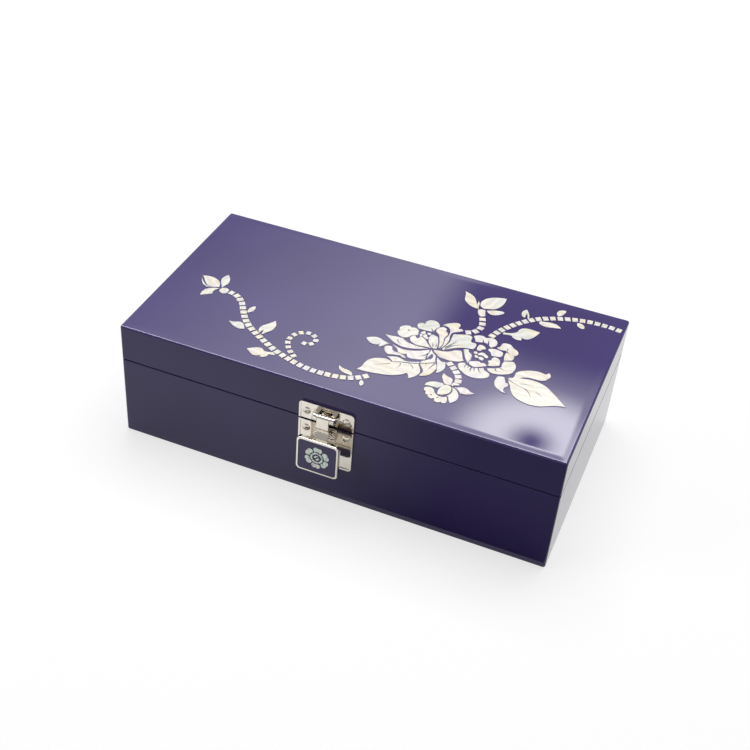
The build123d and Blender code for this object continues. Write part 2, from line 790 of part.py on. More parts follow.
# Leaves along the right vine
leaves_right = [
    (
        (71.8, 50.6),
        [(73.9, 47.2), (75.3, 42.7)],
        [(74.7, 42.7), (74.2, 43.1)],
        [(73.7, 45), (72.8, 47.2)],
        [(72.7, 44.8), (72.8, 42.6)],
        [(71, 43.6), (70, 47.8), (71.8, 50.6)],
    ),
    ((92.6, 59.7), [(92.4, 56.6), (90, 52.6)], [(88.2, 56.4), (92.6, 59.7)]),
    (
        (94.4, 41.4),
        [(91.6, 43.9), (88.3, 44.6), (84.4, 43.7), (82.3, 43.6)],
        [(81.7, 42.9), (81.4, 42.1)],
        [(84.1, 39.6), (88.1, 39.7), (94.4, 41.4)],
    ),
    ((106.2, 47.2), [(105, 50.6), (101.5, 51.4)], [(101.9, 48.8), (106.2, 47.2)]),
    (
        (84.7, 32.4),
        [(80, 33), (75.2, 32), (73.2, 27.6)],
        [(71.3, 25.3), (66.4, 23.4)],
        [(66.2, 22.2), (66.6, 21.5)],
        [(69, 22.2), (71.3, 22.4)],
        [(73.9, 20.2), (77.6, 20.9)],
        [(76.7, 22.4), (76.5, 23.3)],
        [(79.4, 22.7), (82.7, 26.3), (84.7, 32.4)],
    ),
]
# The bud at the left end: its petal, a curled strip, two sepals and its cup
bud_left = [
    (
        (-110, -3.2),
        [(-105.6, -2), (-100.3, -3.2), (-97.2, -6.4), (-96.4, -9.6)],
        [(-99.2, -11), (-102.2, -11.2)],
        [(-104.8, -9.2), (-107.6, -5.9), (-110, -3.2)],
    ),
    (
        (-109.7, -5.1),
        [(-107.2, -8.2), (-103.9, -10.9), (-100.6, -12)],
        [(-104, -11.9), (-107.4, -9.2), (-109.7, -5.1)],
    ),
    (
        (-96.9, 4.1),
        [(-93.6, -0.9), (-92.9, -4.1)],
        [(-93.9, -6.8), (-94.3, -9.6)],
        [(-96.4, -6.3), (-98.5, -2), (-98.3, 1.4), (-96.9, 4.1)],
    ),
    (
        (-102.2, -21.4),
        [(-102.9, -18.6), (-100.3, -12.8)],
        [(-98.3, -11.6), (-95.4, -10.8)],
        [(-97.2, -14.6), (-96.6, -17.2)],
        [(-99.3, -19.2), (-102.2, -21.4)],
    ),
    (
        (-94.4, -10.4),
        [(-91.9, -8.6), (-89.7, -9.7)],
        [(-89.4, -11.6), (-89.8, -13.4)],
        [(-92.3, -14.2), (-94.4, -10.4)],
    ),
]
# The bud at the top: petal, two sepals and cup
bud_top = [
    (
        (58, 55.8),
        [(53.3, 54.6), (48.5, 51.7), (45.8, 47.1), (46.6, 42), (49.4, 40.3)],
        [(51.6, 41.2), (54.4, 42.2)],
        [(57.2, 46.4), (58.1, 50.6), (58, 55.8)],
    ),
    (
        (61, 41.2),
        [(60.1, 42.2), (57.6, 42.1), (53.3, 40.4), (51.2, 39.3)],
        [(52.4, 37.8), (54.7, 36.6), (57.8, 37.6), (61, 41.2)],
    ),
    (
        (33.9, 52.2),
        [(37.7, 50.8), (40.9, 48.4), (43.1, 44.6), (44.2, 42.3)],
        [(44.1, 44.6), (43.9, 46.4)],
        [(45.2, 43.9), (45.6, 40.6)],
        [(46.1, 39.6), (46.5, 38.9)],
        [(43.2, 38.9), (39.2, 41), (36.2, 44.3), (35.2, 48.4), (33.9, 52.2)],
    ),
    (
        (46.4, 37.6),
        [(47.6, 38.8), (50.6, 38.8)],
        [(51.1, 36.3), (52, 34.2)],
        [(50.7, 32.6), (49.3, 32.2)],
        [(47.4, 34.6), (46.4, 37.6)],
    ),
]
# The half-open flower under the peonies
bud_low = [
    (
        (48.6, -26.8),
        [(51.2, -28.7), (54.1, -29.9), (54.9, -33.4), (55.3, -34.6)],
        [(53.6, -35.4), (51.4, -35.2)],
        [(50.6, -33.9), (48.9, -31.2), (48.6, -26.8)],
    ),
    (
        (59, -33.6),
        [(57.6, -33.9), (55.8, -35.4)],
        [(55.3, -33.8), (55.5, -32.4)],
        [(57.2, -31.9), (59, -32.4)],
        [(59, -33.6)],
    ),
    (
        (68.7, -36.2),
        [(66.2, -35.6), (63, -33.9), (59.4, -34.9), (57.2, -36)],
        [(59.9, -37.2), (61.7, -39.2)],
        [(64.9, -38.8), (68.7, -36.2)],
    ),
    (
        (50.6, -35.5),
        [(45.4, -36.4), (42.8, -38.7), (42.5, -41)],
        [(45.9, -40.4), (49.3, -40.5)],
        [(50.3, -38.9), (51.3, -37.2)],
        [(51.4, -36.1), (50.6, -35.5)],
    ),
    (
        (51.9, -36.2),
        [(50.4, -40.8), (51, -45.2)],
        [(54.6, -43.8), (56.4, -41.4), (56.4, -38.2), (55.4, -36.2)],
        [(53.6, -35.8), (51.9, -36.2)],
    ),
    (
        (56.2, -36.3),
        [(58.4, -37.3), (60.6, -39.9)],
        [(61.9, -44.6), (59.5, -49.2)],
        [(58.1, -47.4), (57.2, -45)],
        [(56.1, -44.2)],
        [(57.5, -40.2), (56.2, -36.3)],
    ),
    (
        (43.4, -42.6),
        [(45, -41.6), (47.4, -41.9), (48.6, -43.5)],
        [(50.3, -45.6), (51.9, -46.4)],
        [(53.9, -46.6), (56.1, -45.2)],
        [(57.1, -47.2), (57.4, -50)],
        [(56.3, -51.1), (54.7, -50.2)],
        [(52.6, -51.8), (51, -50.7)],
        [(50.6, -49.4), (49.6, -50.1)],
        [(47.6, -49.6), (47, -48.1)],
        [(45.4, -47.6), (45, -45.6)],
        [(43.4, -44.7), (43.4, -42.6)],
    ),
]
veins_low = [
    ((52.3, -47.2), (51.9, -48.1), (52.1, -49), 0.7),
    ((48.2, -46.6), (48.3, -47.5), (47.8, -48.3), 0.7),
]
# The large leaves
leaf_large_left = [
    (
        (4.5, -44.6),
        [(6.3, -41), (6.6, -37.5), (7.8, -33.8)],
        [(10.3, -31.2), (13, -29.9), (16, -29.2), (19.6, -30.4)],
        [(22.6, -29), (26.4, -27.9), (30.3, -26.6), (33.2, -25.4)],
        [(35, -28.6), (36.3, -31.6), (36.1, -34.3), (34.7, -37.2), (32.3, -39.9)],
        [(31.7, -37.4), (30.3, -35.7)],
        [(27.6, -38.7), (23.6, -41.2), (17, -43.1), (10.5, -44.2), (4.5, -44.6)],
    ),
]
veins_leaf_left = [
    ((19.2, -32.2), (15.6, -34.4), (10.8, -37.6), 0.5),
    ((24.1, -29.2), (24.6, -31.6), (23.2, -34.6), 0.5),
    ((28.2, -27.6), (31, -29.3), (32.3, -32.4), 0.5),
]
leaf_large_right = [
    (
        (80.9, -15),
        [(83.3, -13), (83.2, -9.4), (85.9, -5.9), (89.4, -3.9), (93.4, -2.8), (98, -3.4)],
        [(98.9, -2.4), (99.4, -1.2)],
        [(100.9, -3.4), (100.2, -6.6)],
        [(98.2, -9.2), (94, -9.9), (89, -10.6), (86.3, -12.9)],
        [(89.4, -11.9), (94.8, -11.4), (99.6, -12.6), (104.2, -15.6)],
        [(109.6, -20.3), (115.2, -25.6)],
        [(111.4, -26.2), (106.9, -28.3), (101.6, -31.2), (95.8, -31.8), (90.4, -30.3)],
        [(86.9, -27.6), (84.6, -23.8), (83.3, -20.6)],
        [(81.9, -18.4), (80.9, -15)],
    ),
    (
        (75.4, -16.3),
        [(77, -15.7), (78.6, -15.6)],
        [(79.6, -17.6), (80.6, -19.8)],
        [(82.3, -20.8), (81.9, -23)],
        [(81.2, -26), (84.1, -28.4)],
        [(80.6, -27.9), (76.4, -24.9), (74.9, -20.4), (75.4, -16.3)],
    ),
]
veins_leaf_right = [
    ((80.6, -16), (86.6, -19), (101, -20.2), 0.55),
    ((88.2, -17.2), (91.2, -16.4), (94.4, -15.9), 0.45),
    ((91, -20), (94, -22.4), (96.4, -26.2), 0.55),
    ((97.4, -20.4), (99.8, -21.6), (102, -23.4), 0.45),
]
# The open peony, seen from the side
peony_left = [
    (
        (12.2, 1),
        [(13.2, 3.4), (16.6, 5), (18.3, 3.9)],
        [(19.8, 4.7), (21.6, 4.2), (22.9, 2.9)],
        [(23.3, 1), (23.9, -0.9)],
        [(22.4, -1.7), (20.9, -2.9), (20.2, -4.6)],
        [(18.6, -6.1), (16.4, -6.6), (14.3, -5.6), (12.2, -3)],
        [(12.6, -1.9), (13.5, -0.9)],
        [(12.6, -0.2), (12.2, 1)],
    ),
    (
        (20.7, -4.8),
        [(21.4, -6.8), (23.2, -8.7), (26.2, -9.7), (30.6, -9.3), (34.6, -9.1)],
        [(32.9, -7.6), (31.2, -5.8)],
        [(29.3, -3.5), (27, -1.8)],
        [(25.9, -1.5), (25.2, -1.9)],
        [(25.2, -3.3), (24, -3.9)],
        [(23.3, -2.9), (22.6, -2)],
        [(21.4, -3.1), (20.7, -4.8)],
    ),
    (
        (24.4, 2.4),
        [(25.4, 3.6), (26, 4.5)],
        [(26.9, 3.2), (27.1, 1.8)],
        [(25.8, 1.2), (24.4, 2.4)],
    ),
    ((28, 3.2), [(28.9, 3.9), (29.7, 3.9)], [(30.1, 2.9), (29.9, 2)], [(28.9, 2), (28, 3.2)]),
    (
        (27, 0.9),
        [(27.8, 1.6), (28.5, 1)],
        [(29, 0), (29.9, -0.4)],
        [(30, -1.6), (29.5, -2.5)],
        [(28.2, -1.8), (26.9, -0.9)],
        [(26.5, 0.1), (27, 0.9)],
    ),
    ((24.6, 0.4), [(25.3, 0.9), (26, 0.3)], [(26.2, -0.6), (26, -1.2)], [(25, -0.9), (24.6, 0.4)]),
    (
        (22.4, 5.1),
        [(20.7, 7), (20.5, 9.8), (22.4, 11), (24.1, 10.1)],
        [(23.8, 13.1), (25.4, 15.4), (28.3, 16), (30.7, 14.6), (32.2, 11.3)],
        [(31, 9.6), (30.6, 7.6), (30.6, 5.9)],
        [(27.4, 5.3), (22.4, 5.1)],
    ),
    (
        (31.4, 9.2),
        [(32.5, 11.1), (34.4, 12.6), (36.2, 11.9), (36.4, 10.1)],
        [(37.4, 8.9), (38.7, 7.6)],
        [(38.3, 4.6), (37.9, 2.2)],
        [(38.9, -1.4), (38.2, -7.4)],
        [(37.4, -4), (36.6, -1), (35.6, 1.4)],
        [(34.9, 3.6), (33.4, 5.6)],
        [(32.3, 6.4), (31.4, 9.2)],
    ),
    (
        (30.5, 2.6),
        [(31.6, 3.1), (33, 2.7), (34.4, 2.4)],
        [(35.9, -1.3), (36.9, -5), (37.3, -7.9)],
        [(36.4, -8.6), (35.4, -8.6)],
        [(33.5, -7), (31.7, -4.7), (30.5, -1.8)],
        [(30.2, 0.4), (30.5, 2.6)],
    ),
    (
        (33, 13.8),
        [(34.6, 16.2), (37.4, 18.5), (40.4, 19.8), (42, 19)],
        [(42.4, 17.6), (41.9, 16.1)],
        [(42.2, 15.4), (42.7, 15)],
        [(44.1, 15.2), (45.3, 14.4)],
        [(43.9, 12.7), (41.8, 11.2), (40.4, 9.6)],
        [(40.2, 6.6), (40.9, 3), (41, 0.6)],
        [(40.4, -3.4), (39.1, -7.3)],
        [(39.5, -3.6), (39.3, -0.6), (38.6, 2.3)],
        [(39.2, 5), (39.4, 8)],
        [(38.7, 11.1), (37.2, 13.4), (35.3, 14.2), (33, 13.8)],
    ),
    (
        (41.5, 9),
        [(44.6, 10.1), (47.4, 11.3), (50.2, 11.8)],
        [(52, 10.2), (52.2, 7.2), (53.4, 6)],
        [(55.1, 6.2), (56.1, 4.9)],
        [(56.1, 2.6), (55.6, 0.4)],
        [(53.2, 0.2), (50.6, -0.6)],
        [(46.8, -2.6), (43.4, -5.4), (41.2, -7.8)],
        [(40.4, -6.9), (40.2, -6)],
        [(41.2, -2.6), (42, 1.2)],
        [(41.7, 5), (41.5, 9)],
    ),
    (
        (36.4, -10.2),
        [(38.4, -9.3), (40.7, -9), (43.9, -7.8), (46.4, -5.6)],
        [(48.2, -4.5), (50.2, -3.9)],
        [(51.6, -6.2), (52.9, -9.6), (54.2, -11.4)],
        [(52.9, -13.2), (50.4, -14.3), (47.6, -15), (44.6, -14.8)],
        [(41.6, -14.5), (38.7, -12.8), (36.4, -10.2)],
    ),
    (
        (7.3, -8.4),
        [(11.4, -8.1), (14.6, -7.6), (17.7, -7.7)],
        [(19.6, -9.3), (22.4, -10.2), (27.4, -10.7), (33.4, -10.2)],
        [(29.4, -12.3), (24.8, -14.2), (19.8, -14.9), (14.4, -13.2), (10.4, -10.7), (7.3, -8.4)],
    ),
    (
        (-1.1, -15.9),
        [(1.2, -14.3), (5, -13.1), (9.2, -14.6), (13.6, -15.4)],
        [(11.6, -16.2), (10.6, -17.6), (9.7, -19.2), (8.4, -20.3)],
        [(7.6, -19.6), (7, -18.9)],
        [(5, -19.8), (1.8, -18.9), (-1.1, -15.9)],
    ),
    (
        (11.1, -19.2),
        [(12, -18), (13.6, -17.4), (15, -17.7)],
        [(15.5, -19.3), (16.6, -20.6)],
        [(19, -21.2), (21.6, -21.2), (23.8, -22.4), (25.4, -23.6)],
        [(23.9, -23.9), (21.7, -22.9)],
        [(18.6, -23.6), (15.4, -24.8)],
        [(12.6, -22.8), (11.1, -19.2)],
    ),
    (
        (34.2, -10.8),
        [(30.8, -13.5), (26.4, -15.8), (21, -17), (17.3, -16.4), (14.6, -15.5)],
        [(16.8, -17.2), (18.4, -18.7), (19.1, -20.3)],
        [(21.4, -20.8), (23.5, -20.5)],
        [(24, -19.3)],
        [(24.9, -21.3), (26.2, -22.7)],
        [(29.2, -22.5), (32.6, -21.4), (35.2, -19.8)],
        [(34.5, -16.4), (34.7, -13.6), (34.2, -10.8)],
    ),
    (
        (35.4, -9.9),
        [(37, -12.6), (39.2, -14.6), (39.9, -17.2), (40.8, -19.4)],
        [(39, -21.4), (36.6, -22.9), (33.8, -24.2)],
        [(33.7, -22.9), (35.5, -21)],
        [(36.2, -20), (37, -19.2)],
        [(38.2, -17.4), (38, -15.4), (36.7, -13.4)],
        [(36.2, -16), (35.6, -18.8)],
        [(35.1, -15), (35.4, -9.9)],
    ),
    (
        (15.2, -27),
        [(18, -25.7), (21.5, -24.9), (23.6, -25.5), (26, -26.4)],
        [(29.9, -25.2), (32.9, -23.6)],
        [(33.3, -24.2), (33.1, -24.9)],
        [(30.2, -26), (26.6, -27.2), (22.4, -28.5), (19.8, -29.8)],
        [(18.2, -28.3), (15.2, -27)],
    ),
    (
        (33.9, -24.8),
        [(37, -23.3), (39.4, -21.8), (41.2, -20.2)],
        [(42.4, -22.6), (43.2, -25.4)],
        [(42.7, -28.6), (41.7, -31.4), (39.8, -33.6), (37, -34.9)],
        [(37, -33.8), (37.1, -33.2)],
        [(37.7, -30.9), (36, -27.7), (33.9, -24.8)],
    ),
    (
        (40.4, -15.4),
        [(42.2, -17), (44.2, -17.9), (45.8, -17.4)],
        [(46.5, -19.5), (47.1, -22.2), (46.6, -25.4), (44.4, -28.7)],
        [(44.1, -26.8), (43.6, -25)],
        [(42.4, -22), (41.4, -18.9), (40.4, -15.4)],
    ),
]
veins_peony_left = [
    ((17.2, 1.6), (17.8, 0.8), (18.6, 0.2), 0.8),
    ((30.4, 5.6), (29.2, 7.4), (27.2, 9), 0.7),
    ((34.9, -7.4), (34.4, -5.6), (33.2, -3.8), 0.6),
    ((36.4, -6.8), (36.2, -5.2), (35.4, -3.6), 0.6),
    ((40.9, -5), (43.8, -0.4), (45, 4.2), 0.8),
    ((41.6, -6.9), (45, -1.2), (50.2, 1.7), 0.8),
    ((15, -10), (16.6, -12), (19, -13), 0.6),
    ((7.4, -19.6), (7.4, -18.2), (7.8, -17), 0.5),
    ((34.6, -14), (33.2, -17.2), (30, -19.2), 0.8),
    ((41.2, -20.6), (40.2, -24.6), (39.2, -29.8), 0.7),
    ((38.8, -21.8), (37.2, -23), (36.8, -25.4), 0.6),
    ((41.6, -19.8), (42.2, -21.2), (43.4, -22.8), 0.5),
    ((37, -11.3), (39, -12.8), (42.2, -13.2), 0.6),
]
# The peony seen from above, petal ring by petal ring
peony_right = [
    (
        (52.2, 12.3),
        [(54, 13.9), (56.4, 14.7), (58.7, 13.7)],
        [(60.6, 14.6), (63, 15.1), (65.4, 13.4), (66.3, 10.6)],
        [(65.5, 8), (63.8, 6.6)],
        [(62.4, 8), (60.8, 8.9), (58.6, 9.3)],
        [(56.4, 8.2), (54.4, 8.1)],
        [(53.6, 10.3), (52.2, 12.3)],
    ),
    (
        (67, 8.2),
        [(68.5, 9.8), (68.8, 12.4), (71.4, 14)],
        [(74, 13.3), (75.8, 11.4), (78.2, 10), (79.4, 7.6), (78.6, 5.4)],
        [(76.2, 5.3), (74.2, 6.5), (72.2, 7.3)],
        [(70.2, 6.9), (67, 8.2)],
    ),
    (
        (73.2, 5.9),
        [(75.4, 5.5), (78, 4.6)],
        [(78.4, 2.2), (77.9, 0.4)],
        [(76, -0.7), (74.2, -1.7)],
        [(73.3, 1.4), (73.2, 5.9)],
    ),
    (
        (74.6, -2.3),
        [(77, -1.3), (79.2, -0.5)],
        [(81.2, -3), (81.9, -6.5), (81.2, -10), (79.5, -12.4)],
        [(76.5, -14), (72.8, -15.2), (70, -14.7), (68, -12.3)],
        [(70.4, -11.2), (72.8, -9.8), (74.6, -7.4)],
        [(74.2, -5), (74.6, -2.3)],
    ),
    (
        (57.6, 6),
        [(59.6, 6.2), (61.4, 5), (61.9, 3.6)],
        [(60.4, 2.6), (60, 1.2)],
        [(58.4, 0.9), (57.4, 2)],
        [(57.3, 4), (57.6, 6)],
    ),
    (
        (63.2, 4.3),
        [(65.2, 5.7), (68.6, 6), (71.4, 5)],
        [(72, 2.8), (71.3, 0.6)],
        [(69, -0.1), (66.9, -0.4)],
        [(66, 0.6), (65.4, 2.2)],
        [(64.2, 3), (63.2, 4.3)],
    ),
    (
        (67.8, -2.3),
        [(69.4, -1), (71.3, -1.7), (72.7, -4.6), (73.1, -7)],
        [(70.6, -8.8), (67.3, -9.8)],
        [(67.4, -8), (66.2, -5.9)],
        [(67.1, -5), (68, -4.4)],
        [(67.6, -3.4), (67.8, -2.3)],
    ),
    (
        (57.6, -10.2),
        [(60, -9.3), (61.7, -8.6), (63.3, -9.5)],
        [(65.2, -9), (66.9, -10.6)],
        [(65, -12.2), (63, -13.5), (61, -14.2), (58.8, -13.6)],
        [(57.4, -12), (57.6, -10.2)],
    ),
    (
        (51.2, -2.3),
        [(52.6, -1), (54, -1.2)],
        [(55, -3.4), (56.4, -4.4), (57, -6), (57.4, -8.6)],
        [(57, -10.6), (57, -12.6)],
        [(55.2, -10.2), (53.8, -8), (52.6, -5.4), (51.2, -2.3)],
    ),
    (
        (60.3, -1),
        [(61.9, 0), (63.4, -0.9)],
        [(64.6, -1.6), (65.5, -2.7)],
        [(64.7, -3.8), (63.2, -2.9)],
        [(61.5, -2.7), (59.8, -3.3)],
        [(59.5, -2), (60.3, -1)],
    ),
    (
        (56.8, -1.6),
        [(57.8, -0.7), (58.9, -1.5)],
        [(58.6, -2.7), (57.4, -2.7), (56.9, -2.2), (56.8, -1.6)],
    ),
    ((58, -3.8), [(59.4, -3.9), (60.5, -4.7)], [(59.8, -5.9), (58.5, -5.2)], [(58, -3.8)]),
    (
        (61.2, -4.2),
        [(62.6, -4.2), (63.7, -5.4)],
        [(63.2, -6.8), (61.8, -6.6)],
        [(60.8, -5.4), (61.2, -4.2)],
    ),
    (
        (52.4, -15.6),
        [(53.4, -14.2), (55.4, -13.2)],
        [(57.2, -14.6), (59.6, -15.4), (61.6, -15)],
        [(63.8, -14.3), (66.2, -12.9)],
        [(66.9, -14.4), (68.6, -15.4), (70.4, -16.4)],
        [(70.9, -18.4), (69.4, -21)],
        [(66.4, -22.8), (62.8, -23.5), (59.4, -22.9), (56.3, -20.9)],
        [(53.6, -18.4), (52.4, -15.6)],
    ),
]
veins_peony_right = [
    ((58.8, 9.2), (58.3, 10.6), (57.5, 12), 0.6),
    ((62.1, 8.2), (61.5, 10.2), (61, 12.6), 0.8),
    ((73.3, 7.8), (73, 9), (72.2, 10), 0.6),
    ((73.6, -8.8), (75.2, -9.4), (77.4, -9.6), 0.7),
    ((72, -10.6), (72.6, -12), (74, -13), 0.7),
    ((56.6, -14.4), (56.4, -16.6), (57, -18.6), 0.6),
    ((58.4, -15.2), (58.1, -16.4), (58.3, -17.6), 0.5),
    ((60, -15.4), (60, -17.4), (60.6, -19.7), 0.8),
    ((61.4, -15), (62, -17), (62.7, -18.8), 0.6),
    ((63.5, -14.4), (64.6, -16.4), (66.6, -18.2), 0.7),
]

tiles_left = vine_tiles(left_vine, 29, 1) + vine_tiles(curl_vine, 12, 0.82)
tiles_right = vine_tiles(right_vine, 20, 1)
tiles_right += vine_tiles(top_bud_vine, 5, 1)
tiles_right += vine_tiles(low_bud_vine, 5, 1)

# The drawing reaches to the margins at the lid's right and back edges.
drawing_right = max(x for x, y in right_vine) + tile_length / 2
drawing_back = max(
    y for start, *strokes in leaves_right for x, y in [start, *[p for s in strokes for p in s]]
)
inlay_scale = (
    (case_length / 2 - inlay_side_margin) / drawing_right,
    (case_depth / 2 - inlay_back_margin) / drawing_back,
)

for name, (outlines, veins) in {
    "inlay_vine_left": (tiles_left, []),
    "inlay_vine_right": (tiles_right, []),
    "inlay_leaves_left": (leaves_left, []),
    "inlay_leaves_right": (leaves_right, []),
    "inlay_bud_left": (bud_left, []),
    "inlay_bud_top": (bud_top, []),
    "inlay_bud_low": (bud_low, veins_low),
    "inlay_leaf_large_left": (leaf_large_left, veins_leaf_left),
    "inlay_leaf_large_right": (leaf_large_right, veins_leaf_right),
    "inlay_peony_left": (peony_left, veins_peony_left),
    "inlay_peony_right": (peony_right, veins_peony_right),
}.items():
    lid_face = Plane.XY.offset(case_height)
    publish(shell_pieces(outlines, veins, lid_face, inlay_scale, shell_thickness), name)

# ---------------------------------------------------------------- drop plate's emblem
# A six-petalled flower: an outer ring of petals, an inner ring and a centre.
emblem_petal = (
    (-1.3, 3.9),
    [(-2.5, 4.9), (-2.4, 6.3)],
    [(-1.2, 7.1), (0, 6.8)],
    [(1.2, 7.1), (2.4, 6.3)],
    [(2.5, 4.9), (1.3, 3.9)],
    [(0, 4.3), (-1.3, 3.9)],
)
emblem_leaf = (
    (-1.3, 2.2),
    [(-1.8, 2.9), (-0.9, 3.5)],
    [(0, 3.65), (0.9, 3.5)],
    [(1.8, 2.9), (1.3, 2.2)],
    [(0, 2.6), (-1.3, 2.2)],
)
emblem_comma = (
    (-1.5, 0.1),
    [(-0.6, 1.5), (1.0, 1.1)],
    [(0.3, 0.9), (-0.2, 0.2)],
    [(-0.8, -0.3), (-1.5, 0.1)],
)


def turned(outline, angle):
    """An outline turned about its centre by an angle in degrees."""
    turn = radians(angle)

    def move(point):
        x, y = point
        return (x * cos(turn) - y * sin(turn), x * sin(turn) + y * cos(turn))

    start, *strokes = outline
    return (move(start), *[[move(point) for point in stroke] for stroke in strokes])


emblem = [turned(emblem_petal, 60 * i - 4) for i in range(6)]
emblem += [turned(emblem_leaf, 72 * i + 20) for i in range(5)]
emblem += [emblem_comma, turned(emblem_comma, 180)]
emblem_plane = Plane(
    origin=(clasp_offset, front_face - drop_front + inset_depth - inset_thickness, drop_z),
    x_dir=(1, 0, 0),
    z_dir=(0, -1, 0),
)
start, *strokes = emblem_petal
drawn_radius = max(hypot(x, y) for x, y in [start, *[p for s in strokes for p in s]])
emblem_scale = (emblem_radius / drawn_radius, emblem_radius / drawn_radius)
publish(shell_pieces(emblem, [], emblem_plane, emblem_scale, emblem_thickness), "drop_plate_emblem")
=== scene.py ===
import json
import math

import bpy
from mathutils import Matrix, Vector


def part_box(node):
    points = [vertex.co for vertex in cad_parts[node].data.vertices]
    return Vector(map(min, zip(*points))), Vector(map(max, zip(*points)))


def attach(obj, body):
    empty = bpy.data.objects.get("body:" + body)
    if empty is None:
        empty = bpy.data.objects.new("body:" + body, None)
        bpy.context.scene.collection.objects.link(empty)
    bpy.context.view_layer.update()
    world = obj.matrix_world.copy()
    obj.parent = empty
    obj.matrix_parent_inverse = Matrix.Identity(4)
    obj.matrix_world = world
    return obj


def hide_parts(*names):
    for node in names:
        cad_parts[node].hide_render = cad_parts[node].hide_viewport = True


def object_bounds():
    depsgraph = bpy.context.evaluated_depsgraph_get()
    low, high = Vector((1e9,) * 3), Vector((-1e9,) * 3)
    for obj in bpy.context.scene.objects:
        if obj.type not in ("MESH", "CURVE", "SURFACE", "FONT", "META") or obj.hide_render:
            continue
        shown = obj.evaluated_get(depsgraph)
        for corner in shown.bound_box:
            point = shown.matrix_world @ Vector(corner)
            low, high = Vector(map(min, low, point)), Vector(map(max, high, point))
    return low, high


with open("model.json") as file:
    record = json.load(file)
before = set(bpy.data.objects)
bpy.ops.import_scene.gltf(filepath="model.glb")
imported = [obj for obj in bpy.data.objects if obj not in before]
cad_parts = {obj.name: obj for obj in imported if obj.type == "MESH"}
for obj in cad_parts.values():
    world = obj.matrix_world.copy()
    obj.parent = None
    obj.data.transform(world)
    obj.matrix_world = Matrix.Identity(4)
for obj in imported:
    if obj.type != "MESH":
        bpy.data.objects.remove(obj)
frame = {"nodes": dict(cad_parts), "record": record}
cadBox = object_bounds()
nodes = frame["nodes"]
scene = bpy.context.scene


def hexColour(code):  # an sRGB hex value as linear light
    parts = [int(code[i:i + 2], 16) / 255 for i in (1, 3, 5)]
    return [p / 12.92 if p <= 0.04045 else ((p + 0.055) / 1.055) ** 2.4 for p in parts] + [1]


def perMetre(millimetres):  # scale of a pattern whose features are about this far apart
    return 1000 / millimetres


def bandsPerMetre(millimetres):  # the same for a wave texture, which turns 20 radians per unit
    return math.tau / 20 * perMetre(millimetres)


# Adds a node. Settings are sockets by name or number, properties, or a ramp's stops.
# A link comes from a socket, or from a node's first output.
def addNode(tree, kind, settings=None, links=None):
    node = tree.nodes.new(kind)
    for name, value in (settings or {}).items():
        if name == "stops":
            marks = node.color_ramp.elements
            while len(marks) < len(value):
                marks.new(1)
            for mark, (position, code) in zip(marks, value):
                mark.position = position
                mark.color = hexColour(code)
        elif isinstance(name, int) or name in node.inputs:
            node.inputs[name].default_value = value
        else:
            setattr(node, name, value)
    for name, source in (links or {}).items():
        if isinstance(source, bpy.types.Node):
            source = source.outputs[0]
        tree.links.new(source, node.inputs[name])
    return node


def startMaterial(name, surface):  # surface holds what is the same all over it
    material = bpy.data.materials.new(name)
    material.use_nodes = True
    tree = material.node_tree
    tree.nodes.clear()
    shader = addNode(tree, "ShaderNodeBsdfPrincipled", surface)
    addNode(tree, "ShaderNodeOutputMaterial", links={"Surface": shader})
    place = addNode(tree, "ShaderNodeTexCoord").outputs["Object"]
    return material, tree, shader, place


def coverSurface(tree, shader, colour, height, depth):  # colour, and relief this deep in millimetres
    relief = addNode(tree, "ShaderNodeBump", {"Strength": 1, "Distance": depth / 1000}, {"Height": height})
    tree.links.new(colour, shader.inputs["Base Color"])
    tree.links.new(relief.outputs[0], shader.inputs["Normal"])
    return relief.outputs[0]


# Camera, from the photograph's vanishing lines
cameraSet = {
    "place": (0.18359, -0.53863, 0.48606),
    "turn": (50.237, -2.234, 23.902),  # degrees
    "lens": 59.586,
    "sensor": 36,
    "shift": (0.076, 0.0383),
    "nearest": 0.01,
}
cameraData = bpy.data.cameras.new("camera")
camera = bpy.data.objects.new("camera", cameraData)
scene.collection.objects.link(camera)
camera.location = cameraSet["place"]
camera.rotation_euler = [math.radians(a) for a in cameraSet["turn"]]
cameraData.lens = cameraSet["lens"]
cameraData.sensor_width = cameraSet["sensor"]
cameraData.shift_x, cameraData.shift_y = cameraSet["shift"]
cameraData.clip_start = cameraSet["nearest"]
scene.camera = camera
scene.view_settings.view_transform = "Standard"
print("camera set")

# Polyester lacquer over board, sprayed thick, sanded and buffed: deep colour under a clear gloss
# that runs slightly wavy and draws away from the lid's edges
lacquerSet = {
    "colour": "#3e2f74",
    "cloud": "#392a6c",
    "cloudSize": 70,  # mm, as all sizes and depths here
    "peelSize": 3.5,
    "peelDepth": 0.0012,
    "waveSize": 28,
    "waveDepth": 0.0036,
    "edgeWidth": 5.5,
    "edgeDepth": 0.1,
    "cornerBlend": 4,
    "pigment": 0.32,  # roughness under the clear coat
    "haze": 0.035,  # roughness of the clear coat
    "clearIor": 1.45,
}


